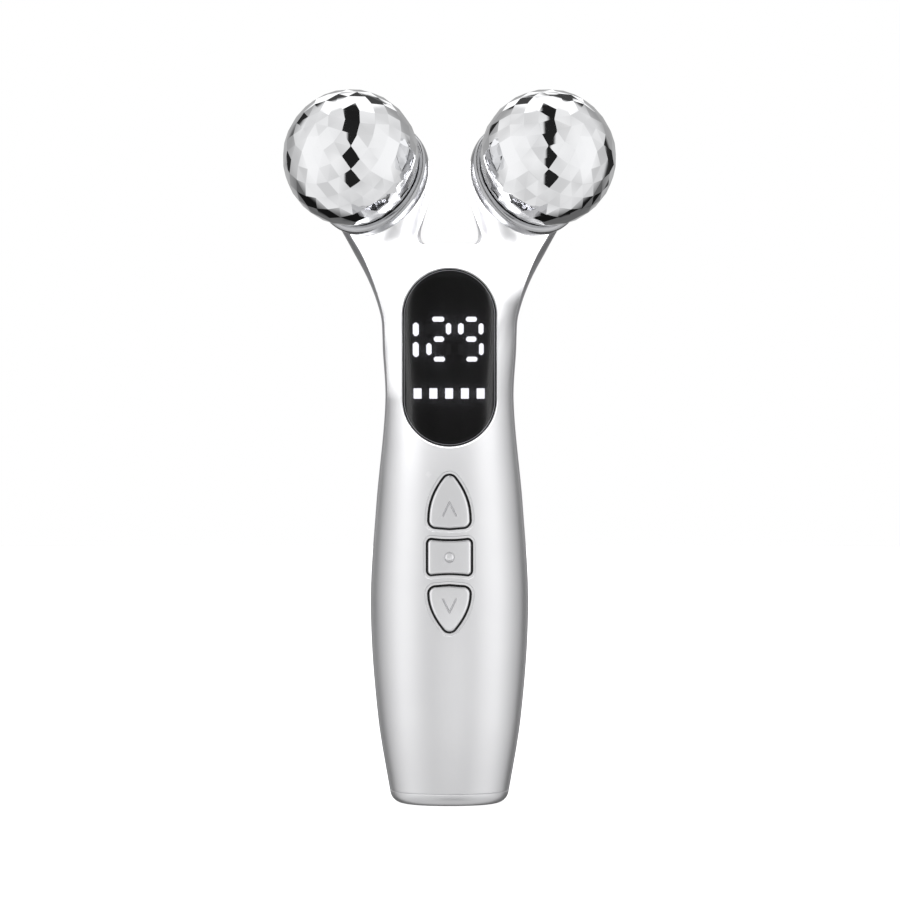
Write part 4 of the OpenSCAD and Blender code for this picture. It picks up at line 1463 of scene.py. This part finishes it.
@dataclass
class Key:
    """One key: a silver cap with a rounded rim that follows the handle's front, on a black carrier."""

    name: str
    body: str
    sign: Sign
    outline: Outline
    flange: Outline
    mid: float
    gap: float = 0.5
    proud: float = 0.3
    wall: float = 1.8
    rim_r: float = 0.55
    skin: float = 0.4
    flange_t: float = 0.8
    stem_r: float = 1.5
    stem_end: float = 9.35
    seat: float = 0.05
    dot_r: float = 1.04
    leg_w: float = 1.45
    leg_h: float = 3.0

    def cap(self) -> bpy.types.Object:
        """The silver cap as a working piece.

        Returns:
            The piece.
        """
        back = FORM.level(self.skin)
        shares = (0.02, 0.2, 0.4, 0.6, 0.8)
        rings = [ring_at(self.outline.shrunk(-self.gap, s), back) for s in shares]
        rings.append(ring_at(self.outline.grown(-self.gap), back))
        for i in range(9):
            a = math.pi / 2 * i / 8
            grow = -self.gap - self.rim_r * (1 - math.cos(a))
            drop = 0.8 * self.rim_r * (1 - math.sin(a))
            rings.append(ring_at(self.outline.grown(grow), FORM.level(0.0, self.proud - drop)))
        inner, face = -self.gap - self.rim_r, FORM.level(0.0, self.proud)
        shares = (0.9, 0.75, 0.6, 0.45, 0.3, 0.15, 0.02)
        rings += [ring_at(self.outline.shrunk(inner, s), face) for s in shares]
        bm = bmesh.new()
        loft(bm, rings)
        return workpiece(bm, "cap")

    def carrier(self) -> bpy.types.Object:
        """The black body under the cap, with its flange and its stem.

        Returns:
            The working piece.
        """
        top = FORM.level(self.skin + 0.01)
        step = FORM.level(self.wall + self.seat)
        low = FORM.level(self.wall + self.seat + self.flange_t)
        rings = [ring_at(self.flange.shrunk(0, s), low) for s in (0.02, 0.4, 0.8, 1.0)]
        rings.append(ring_at(self.flange.grown(0), step))
        rings.append(ring_at(self.outline.grown(-self.gap), step))
        rings.append(ring_at(self.outline.grown(-self.gap), top))
        rings += [ring_at(self.outline.shrunk(-self.gap, s), top) for s in (0.8, 0.6, 0.4, 0.2, 0.02)]
        bm = bmesh.new()
        loft(bm, rings)
        body = workpiece(bm, "carrier")
        start, end, r = FORM.front(0, self.mid, self.wall + 0.3), self.stem_end, self.stem_r
        bm = spun([(0.0, -start), (r, -start), (r, -end), (0.0, -end)], 32)
        bmesh.ops.rotate(bm, cent=(0, 0, 0), matrix=Matrix.Rotation(-math.pi / 2, 3, "X"), verts=bm.verts)
        bmesh.ops.translate(bm, vec=(0, 0, self.mid), verts=bm.verts)
        combine(body, workpiece(bm, "stem"), Cut.ADD)
        return body

    def groove(self) -> list[bpy.types.Object]:
        """The cutters of the sign.

        Returns:
            The working pieces.
        """
        face = FORM.level(0.0, self.proud)
        if self.sign is Sign.DOT:
            # A ring groove, inside which the face is left as a small dome.
            y = -face(0, self.mid)
            dome = [(0.25, -0.6), (0.25, 0.005), (0.6, 0.03), (0.82, 0.09), (0.96, 0.18), (self.dot_r, 0.3)]
            profile = [(r, y + v) for r, v in dome + [(1.12, 0.3), (1.25, -0.02), (1.4, -0.6)]]
            bm = spun([(r, -v) for r, v in profile], 64)
            bmesh.ops.rotate(bm, cent=(0, 0, 0), matrix=Matrix.Rotation(math.pi / 2, 3, "X"), verts=bm.verts)
            bmesh.ops.translate(bm, vec=(0, 0, self.mid), verts=bm.verts)
            return [workpiece(bm, "ring")]
        # Two legs that meet at the apex, each a round-ended groove with sloping sides.
        rise = self.leg_h if self.sign is Sign.DOWN else -self.leg_h
        apex = self.mid - rise / 2
        made = []
        for s in (-1, 1):
            bm = bmesh.new()
            points = []
            for x, z in ((0.0, apex), (s * self.leg_w, apex + rise)):
                turn = Matrix.Translation((x, -face(x, z), z)) @ Matrix.Rotation(math.pi / 2, 4, "X")
                for r, depth in ((0.05, -0.3), (0.22, 0.02), (0.35, 0.6)):
                    points += [turn @ point for point in circle(r, depth, 16)]
            hulled(bm, points)
            made.append(workpiece(bm, "leg"))
        return made

    def build(self) -> None:
        """Builds, dresses and places the key."""
        cap = self.cap()
        for cutter in self.groove():
            combine(cap, cutter, Cut.AWAY)
        made = finished(cap, self.name + "_satin", 40)
        settle(made, Finishes.KEY, self.body, self.name)
        made = finished(self.carrier(), self.name + "_carrier", 40)
        settle(made, Finishes.BLACK, self.body, self.name)


@dataclass
class KeyPad:
    """The three keys below the display."""

    up_z: float = 62.7
    up_h: float = 12.8
    up_bow: float = 2.2
    down_z: float = 39.5
    down_h: float = 11.2
    down_bow: float = 1.9
    mode_z: float = 52.3
    mode_h: float = 8.8
    flange: float = 0.9
    web_gap: float = 0.1

    def outlines(self) -> list[Outline]:
        """Outlines of the three holes.

        Returns:
            The up, middle and down key's outline.
        """
        return [
            arrow_outline(self.up_z, self.up_h, self.up_bow, True),
            mode_outline(self.mode_z, self.mode_h),
            arrow_outline(self.down_z, self.down_h, self.down_bow, False),
        ]

    def build(self) -> None:
        """Builds the three keys."""
        low_web = (self.down_z + self.down_h + self.mode_z) / 2
        high_web = (self.mode_z + self.mode_h + self.up_z) / 2
        gap = self.web_gap
        up_mid, down_mid = self.up_z + self.up_h * 0.38, self.down_z + self.down_h * 0.56
        mode_mid = self.mode_z + self.mode_h / 2
        # Each key's name, body, sign and middle, and between which heights its flange stays.
        names = (
            ("up_key", "up_button", Sign.UP, up_mid, (high_web + gap, FORM.top)),
            ("mode_key", "mode_button", Sign.DOT, mode_mid, (low_web + gap, high_web - gap)),
            ("down_key", "down_button", Sign.DOWN, down_mid, (0.0, low_web - gap)),
        )
        for (name, body, sign, mid, room), outline in zip(names, self.outlines()):
            low, high = room
            edge = [(x, max(low, min(high, z))) for x, z in outline.grown(self.flange)]
            Key(name, body, sign, outline, Outline(edge, outline.ways), mid).build()


# ---------------------------------------------------------------- rollers


@dataclass
class Roller:
    """One faceted ball and the smooth cup behind it."""

    side: int
    radius: float = 15.4
    skin: float = 1.6
    rear: float = 9.6
    facets: int = 32
    rings: int = 14
    bevel: float = 0.05
    dome: float = 0.3
    play: float = 0.08
    floor_z: float = 10.1
    widest_z: float = 9.4
    cup_r: float = 14.0
    seat_r: float = 12.8
    cup_back: float = 12.4
    neck_r: float = 8.5
    flange_r: float = 9.6
    wall: float = 1.9
    flange_t: float = 1.3
    seal_r: float = 9.0
    seal_w: float = 1.2
    seal_deep: float = 0.8
    lip: float = 0.8
    axle_r: float = 2.0

    @property
    def word(self) -> str:
        """The side's name."""
        return "left" if self.side < 0 else "right"

    def corners(self) -> list[Point3]:
        """The facets' corners in the ball's frame: rings about its axis, each turned by half a facet.

        Returns:
            The corners.
        """
        points = [(0.0, 0.0, -self.radius)]
        for i in range(1, self.rings):
            a = math.pi * i / self.rings
            count = max(6, int(self.facets * math.sin(a) + 0.5))
            for k in range(count):
                b = 2 * math.pi * (k + (i % 2) / 2) / count
                ring = self.radius * math.sin(a)
                points.append((ring * math.cos(b), ring * math.sin(b), -self.radius * math.cos(a)))
        return points

    def ball(self) -> bpy.types.Object:
        """The plated skin with flat facets and very slightly softened edges.

        Returns:
            The finished object.
        """
        bm = bmesh.new()
        hulled(bm, [Vector(p) for p in self.corners()])
        bmesh.ops.dissolve_limit(bm, angle_limit=math.radians(0.5), verts=bm.verts, edges=bm.edges)
        everything = bm.verts[:] + bm.edges[:] + bm.faces[:]
        rear = {"plane_co": (0, 0, self.rear), "plane_no": (0, 0, 1), "clear_outer": True}
        bmesh.ops.bisect_plane(bm, geom=everything, **rear)
        bmesh.ops.holes_fill(bm, edges=bm.edges, sides=0)
        soft = {"offset_type": "OFFSET", "segments": 1, "profile": 0.5, "affect": "EDGES", "material": -1}
        bmesh.ops.bevel(bm, geom=bm.edges[:], offset=self.bevel, **soft)
        skin = workpiece(bm, "skin")
        hollow = bmesh.new()
        bmesh.ops.create_icosphere(hollow, subdivisions=5, radius=self.radius - self.skin)
        combine(skin, workpiece(hollow, "hollow"), Cut.AWAY)
        made = self.placed(skin, self.word + "_ball_faceted", 3)
        self.swell(made)
        return made

    def swell(self, ball: bpy.types.Object) -> None:
        """Turns the facets' normals a little towards the sphere's, as on slightly domed moulded facets.

        Args:
            ball: the finished ball.
        """
        mesh = ball.data
        centre = BALL.matrix(self.side).translation * MM
        mesh.polygons.foreach_set("use_smooth", [True] * len(mesh.polygons))
        normals = []
        for face in mesh.polygons:
            outside = (face.center - centre).length > (self.radius - 0.6) * MM
            for corner in face.vertices:
                way = (mesh.vertices[corner].co - centre).normalized()
                domed = face.normal.lerp(way, self.dome).normalized()
                normals.append(domed if outside else face.normal.copy())
        mesh.normals_split_custom_set(normals)

    def placed(self, piece: bpy.types.Object, name: str, angle: float) -> bpy.types.Object:
        """Moves a working piece from the ball's frame to its place.

        Args:
            piece: the working piece.
            name: the finished name.
            angle: edges sharper than this many degrees stay crisp.

        Returns:
            The finished object.
        """
        bm = bmesh.new()
        bm.from_mesh(piece.data)
        remove(piece)
        bmesh.ops.transform(bm, matrix=BALL.matrix(self.side), verts=bm.verts)
        return as_object(bm, name, angle)

    def bowl(self, z: float) -> float:
        """Radius of the cup's inside at a height, which clears the ball by its play."""
        return math.sqrt((self.radius + self.play) ** 2 - z * z)

    def cup(self) -> bpy.types.Object:
        """The chrome cup, its outline spun about the axle.

        Returns:
            The finished object.
        """
        floor, widest, back = self.floor_z, self.widest_z, self.cup_back
        rim_z, flange_z = widest - self.lip, back + self.wall
        end_z = flange_z + self.flange_t
        # The bowl follows the ball, the lip rolls over to the widest place, and the outside tapers back.
        profile = [(self.bowl(z), z) for z in (floor + (rim_z - floor) * i / 6 for i in range(7))]
        thick, taper = self.cup_r - self.bowl(rim_z), self.cup_r - self.seat_r
        for i in range(1, 13):
            a = math.pi / 2 * (1 - i / 12)
            profile.append((self.bowl(rim_z) + thick * math.cos(a), widest - (widest - rim_z) * math.sin(a)))
        for i in range(1, 17):
            a = math.pi / 2 * i / 16
            profile.append((self.seat_r + taper * math.cos(a), widest + (back - widest) * math.sin(a)))
        # Behind it are the neck and flange, the axle's hole, and the seal's groove in the floor.
        profile += [(self.neck_r, back), (self.neck_r, flange_z), (self.flange_r, flange_z)]
        profile += [(self.flange_r, end_z), (self.axle_r, end_z), (self.axle_r, floor)]
        inner, outer = self.seal_r - self.seal_w / 2, self.seal_r + self.seal_w / 2
        deep = floor + self.seal_deep
        profile += [(inner, floor), (inner, deep), (outer, deep), (outer, floor)]
        return self.placed(workpiece(spun(profile, 128), "cup"), self.word + "_cup_chrome", 32)

    def build(self) -> None:
        """Builds, dresses and places the ball and its cup."""
        settle(self.ball(), Finishes.CHROME, self.word + "_ball", self.word + "_ball_skin")
        settle(self.cup(), Finishes.CUP, "root", self.word + "_cup")


# ---------------------------------------------------------------- carried-over nodes


@dataclass
class Insides:
    """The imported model's own pieces that stay, each with a finish."""

    finishes: dict[str, Finishes] = field(
        default_factory=lambda: {
            "display_reflector": Finishes.BLACK,
            "up_plunger": Finishes.BLACK,
            "mode_plunger": Finishes.BLACK,
            "down_plunger": Finishes.BLACK,
            "switch_housings": Finishes.BLACK,
            "main_board": Finishes.BOARD,
            "charge_board": Finishes.BOARD,
            "board_parts": Finishes.CHIP,
            "battery": Finishes.CELL,
            "battery_holder": Finishes.BLACK,
            "battery_pad": Finishes.FOAM,
            "charging_socket": Finishes.STEEL,
            "shell_screws": Finishes.STEEL,
            "battery_leads": Finishes.SLEEVE,
            "charge_leads": Finishes.SLEEVE,
        }
    )
    sided: dict[str, Finishes] = field(
        default_factory=lambda: {
            "ball_core": Finishes.CORE,
            "bushes": Finishes.BRONZE,
            "axle": Finishes.STEEL,
            "axle_clip": Finishes.STEEL,
            "thrust_washer": Finishes.ACETAL,
            "cup_seal": Finishes.RUBBER,
            "axle_nut": Finishes.STEEL,
            "terminal": Finishes.BRONZE,
            "ball_lead": Finishes.SLEEVE,
        }
    )

    def dress_all(self, nodes: dict[str, bpy.types.Object]) -> None:
        """Gives each carried-over node its finish.

        Args:
            nodes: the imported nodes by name.
        """
        wanted = dict(self.finishes)
        for side in ("left", "right"):
            wanted.update({f"{side}_{name}": finish for name, finish in self.sided.items()})
        for name, finish in wanted.items():
            dress(nodes[name], finish)
            LOG.info("%s in %s", name, finish.value.name)


# ---------------------------------------------------------------- studio


@dataclass
class Studio:
    """A pale floor, soft light from both sides and above, and the camera at the photograph's height."""

    eye: Point3 = (0.115, -600.0, 80.8)
    span: float = 207.0
    floor_r: float = 1.6
    white: str = "ffffff"
    front_light: float = 0.92
    panel_light: float = 1.12
    over_light: float = 1.35
    side_light: float = 0.7
    rear_light: float = 0.45
    sky_light: float = 0.9
    floor_light: float = 0.86
    top_light: float = 3.6
    low_light: float = 1.7
    fill_light: float = 0.8
    edge_light: float = 0.6
    shade_light: float = 0.16
    lens_light: float = 6.5
    tent: Point3 = (62, 125, 230)

    def camera(self) -> None:
        """A level camera in front of the object."""
        data = bpy.data.cameras.new("camera")
        data.sensor_width = 36.0
        data.lens = 36.0 * -self.eye[1] / self.span
        data.clip_start, data.clip_end = 0.01, 20.0
        camera = bpy.data.objects.new("camera", data)
        camera.location = [v * MM for v in self.eye]
        camera.rotation_euler = (math.pi / 2, 0, 0)
        bpy.context.scene.collection.objects.link(camera)
        bpy.context.scene.camera = camera

    def floor(self) -> None:
        """A pale round floor under the object."""
        bm = bmesh.new()
        bmesh.ops.create_circle(bm, cap_ends=True, radius=self.floor_r, segments=96)
        bmesh.ops.translate(bm, vec=(0, 0, -0.0001), verts=bm.verts)
        floor = as_object(bm, "floor", 0, 1.0)
        material = bpy.data.materials.new("pale_floor")
        material.use_nodes = True
        shader = material.node_tree.nodes["Principled BSDF"]
        shader.inputs["Base Color"].default_value = linear("f4f4f4")
        shader.inputs["Roughness"].default_value = 0.9
        shader.inputs["Emission Color"].default_value = linear(self.white)
        shader.inputs["Emission Strength"].default_value = 0.75
        floor.data.materials.append(material)
        floor.visible_glossy = False

    def world(self) -> None:
        """The room as the object sees it: pale walls, bright panels to the sides, a dark gap before it."""
        world = bpy.data.worlds.new("studio")
        bpy.context.scene.world = world
        world.use_nodes = True
        tree = world.node_tree
        tree.nodes.clear()
        way = add_node(tree, "ShaderNodeTexCoord").outputs["Generated"]
        parts = add_node(tree, "ShaderNodeSeparateXYZ", {}, {0: way})
        noise = add_node(tree, "ShaderNodeTexNoise", {}, {"Vector": way, "Scale": 2.6, "Detail": 1.0})
        values = {name: parts.outputs[i] for i, name in enumerate("xyz")}
        values["noise"] = noise.outputs["Fac"]
        light = wire(tree, values, self.room())
        seen = add_node(tree, "ShaderNodeLightPath").outputs["Is Camera Ray"]
        strength = add_node(tree, "ShaderNodeMix", {}, {0: seen, 2: light, 3: 1.0}).outputs[0]
        white = {"Color": linear(self.white), "Strength": strength}
        background = add_node(tree, "ShaderNodeBackground", {}, white)
        add_node(tree, "ShaderNodeOutputWorld", {}, {0: background.outputs[0]})

    def room(self) -> Recipe:
        """How bright the room is in each direction x, y, z, as the object sees it.

        Returns:
            The recipe, whose last line is the brightness.
        """
        return (
            ("side", "ABSOLUTE", "x"),
            # At eye level it is pale in front, dimmer past the sides and behind.
            ("past_front", "SMOOTH", "y", -0.35, -0.1, 0, 1),
            ("level", "MIX", "past_front", self.front_light, self.side_light),
            ("up", "SMOOTH", "z", 0.15, 0.5, 0, 1),
            ("level", "MIX", "up", "level", self.sky_light),
            ("down", "SMOOTH", "z", -0.6, -0.3, 1, 0),
            ("level", "MIX", "down", "level", self.floor_light),
            ("behind", "SMOOTH", "y", 0.4, 0.6, 0, 1),
            ("level", "MIX", "behind", "level", self.rear_light),
            ("below", "SMOOTH", "z", -0.3, -0.12, 1, 0),
            ("shade", "SMOOTH", "y", 0.3, 0.5, 0, 1),
            ("shade", "MULTIPLY", "shade", "below"),
            ("level", "MIX", "shade", "level", self.shade_light),
            ("uneven", "SMOOTH", "noise", 0.3, 0.7, 0.86, 1.14),
            ("level", "MULTIPLY", "level", "uneven"),
            # A soft white panel stands on each side in front.
            ("wide", "SMOOTH", "side", 0.35, 0.95, 0, 1),
            ("fore", "SMOOTH", "y", -0.15, 0.1, 1, 0),
            ("foot", "SMOOTH", "z", -0.65, -0.4, 0, 1),
            ("head", "SMOOTH", "z", 0.45, 0.75, 1, 0),
            ("wide", "MULTIPLY", "wide", "fore"),
            ("tall", "MULTIPLY", "foot", "head"),
            ("panels", "MULTIPLY", "wide", "tall"),
            ("level", "MIX", "panels", "level", self.panel_light),
            # Another hangs overhead, a little behind the balls.
            ("near", "SMOOTH", "side", 0.42, 0.46, 1, 0),
            ("high", "SMOOTH", "z", 0.45, 0.5, 0, 1),
            ("back", "SMOOTH", "y", -0.02, 0.02, 0, 1),
            ("over", "MULTIPLY", "near", "high"),
            ("over", "MULTIPLY", "over", "back"),
            ("level", "MIX", "over", "level", self.over_light),
            # The gap between the front panels is dark, from low in front to the zenith.
            ("aside", "SUBTRACT", "x", 0.06),
            ("aside", "ABSOLUTE", "aside"),
            ("beside", "SMOOTH", "aside", 0.1, 0.13, 0, 1),
            ("past", "SMOOTH", "y", -0.04, 0.04, 0, 1),
            ("under", "SMOOTH", "z", -0.82, -0.76, 1, 0),
            ("clear", "MAXIMUM", "beside", "past"),
            ("clear", "MAXIMUM", "clear", "under"),
            ("clear", "MAXIMUM", "clear", 0.02),
            # A broken dark ring lies behind the side panels.
            ("ring", "SMOOTH", "y", 0.44, 0.5, 0, 0.95),
            ("end", "SMOOTH", "y", 0.75, 0.8, 1, 0),
            ("broken", "SMOOTH", "noise", 0.44, 0.48, 0, 1),
            ("ring", "MULTIPLY", "ring", "end"),
            ("ring", "MULTIPLY", "ring", "broken"),
            ("open", "SUBTRACT", 1.0, "ring"),
            ("level", "MULTIPLY", "level", "open"),
            ("level", "MULTIPLY", "level", "clear"),
        )

    def panel(
        self, name: str, place: Point3, aim: Point3, size: Point2, radiance: float, lit: Sequence[str]
    ) -> None:
        """One soft panel that lights only some pieces, and that no other piece shades.

        Args:
            name: its name.
            place: where its middle stands, in millimetres.
            aim: where it faces.
            size: its width and height in millimetres.
            radiance: how bright its face is, where 1 is white.
            lit: how the names of the pieces that it lights begin.
        """
        data = bpy.data.lights.new(name, "AREA")
        data.shape = "RECTANGLE"
        data.size, data.size_y = size[0] * MM, size[1] * MM
        data.energy = radiance * math.pi * data.size * data.size_y
        light = bpy.data.objects.new(name, data)
        light.location = [v * MM for v in place]
        light.rotation_mode = "QUATERNION"
        light.rotation_quaternion = (Vector(aim) - Vector(place)).to_track_quat("-Z", "Y")
        light.visible_camera = False
        bpy.context.scene.collection.objects.link(light)
        for role, names in (("receiver_collection", tuple(lit)), ("blocker_collection", ("battery_pad",))):
            group = bpy.data.collections.new(f"{name}_{role}")
            for piece in bpy.data.objects:
                if piece.name.startswith(names):
                    group.objects.link(piece)
            setattr(light.light_linking, role, group)

    def tents(self) -> None:
        """The bright tent round the top of the front shell, which washes it out to white."""
        front = ("front_shell_satin", "base_cap_satin")
        arms = ("front_shell_satin", "rear_shell_satin")
        near, low, high = self.tent
        mid, tall, bright = (low + high) / 2, high - low, self.top_light
        self.panel("tent_front", (0, -near, mid), (0, 0, mid), (2 * near, tall), bright, front)
        self.panel("tent_top", (0, 0, high), (0, 0, low), (2 * near, 2 * near), bright, front)
        self.panel("tent_behind", (0, near, mid), (0, 0, mid), (2 * near, tall), bright, front)
        self.panel("tent_gap", (0, 20, 149), (0, 0, 149), (34, 46), bright, arms[:1])
        # The tent hangs lower on the left, where the photograph is white further down.
        for side, drop, under in ((-1, 12, 92), (1, -4, 114)):
            at = mid - drop / 2
            self.panel("tent_between", (-side * 6, -6, 150), (side * 20, -1, 145), (50, 50), bright, arms)
            self.panel("tent_side", (side * near, 0, at), (0, 0, at), (2 * near, tall + drop), bright, front)
            self.panel("tent_under", (side * 64, -5, under), (side * 64, -5, 200), (60, 90), bright, front)

    def panels(self) -> None:
        """The softer panels before and beside the handle."""
        keys = ("up_key", "mode_key", "down_key")
        front = ("front_shell_satin", "base_cap_satin") + keys
        shells = front + ("rear_shell_satin",)
        lens = ("display_lens_smoked",)
        for side in (-1, 1):
            place = (side * 305 - 8, -290, 70)
            self.panel("shell_side", place, (0, 0, 70), (280, 420), self.edge_light, front)
            self.panel("lens_side", (side * 330, -230, 110), (0, 0, 100), (120, 200), self.lens_light, lens)
        self.panel("low_fill", (24, -400, -80), (24, 0, -80), (100, 200), self.low_light, shells)
        self.panel("front_fill", (24, -400, 345), (24, 0, 345), (100, 570), self.fill_light, shells)
        self.panel("lens_fill", (24, -400, 320), (24, 0, 320), (100, 620), self.front_light, lens)

    def build(self) -> None:
        """Makes the camera, the floor and the light."""
        self.camera()
        self.floor()
        self.world()
        self.tents()
        self.panels()
        view = bpy.context.scene.view_settings
        view.view_transform = "Standard"
        view.look = "None"


def main() -> None:
    """Loads the frame, builds each sub-assembly in order and sets the studio."""
    logging.basicConfig(level=logging.INFO, format="%(name)s %(message)s")
    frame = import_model()
    display, keypad = Display(), KeyPad()
    Shells().build(display, keypad)
    BaseCap().build()
    display.build()
    keypad.build()
    for side in (-1, 1):
        Roller(side).build()
    Insides().dress_all(frame["nodes"])
    Studio().build()


if __name__ == "__main__":
    main()
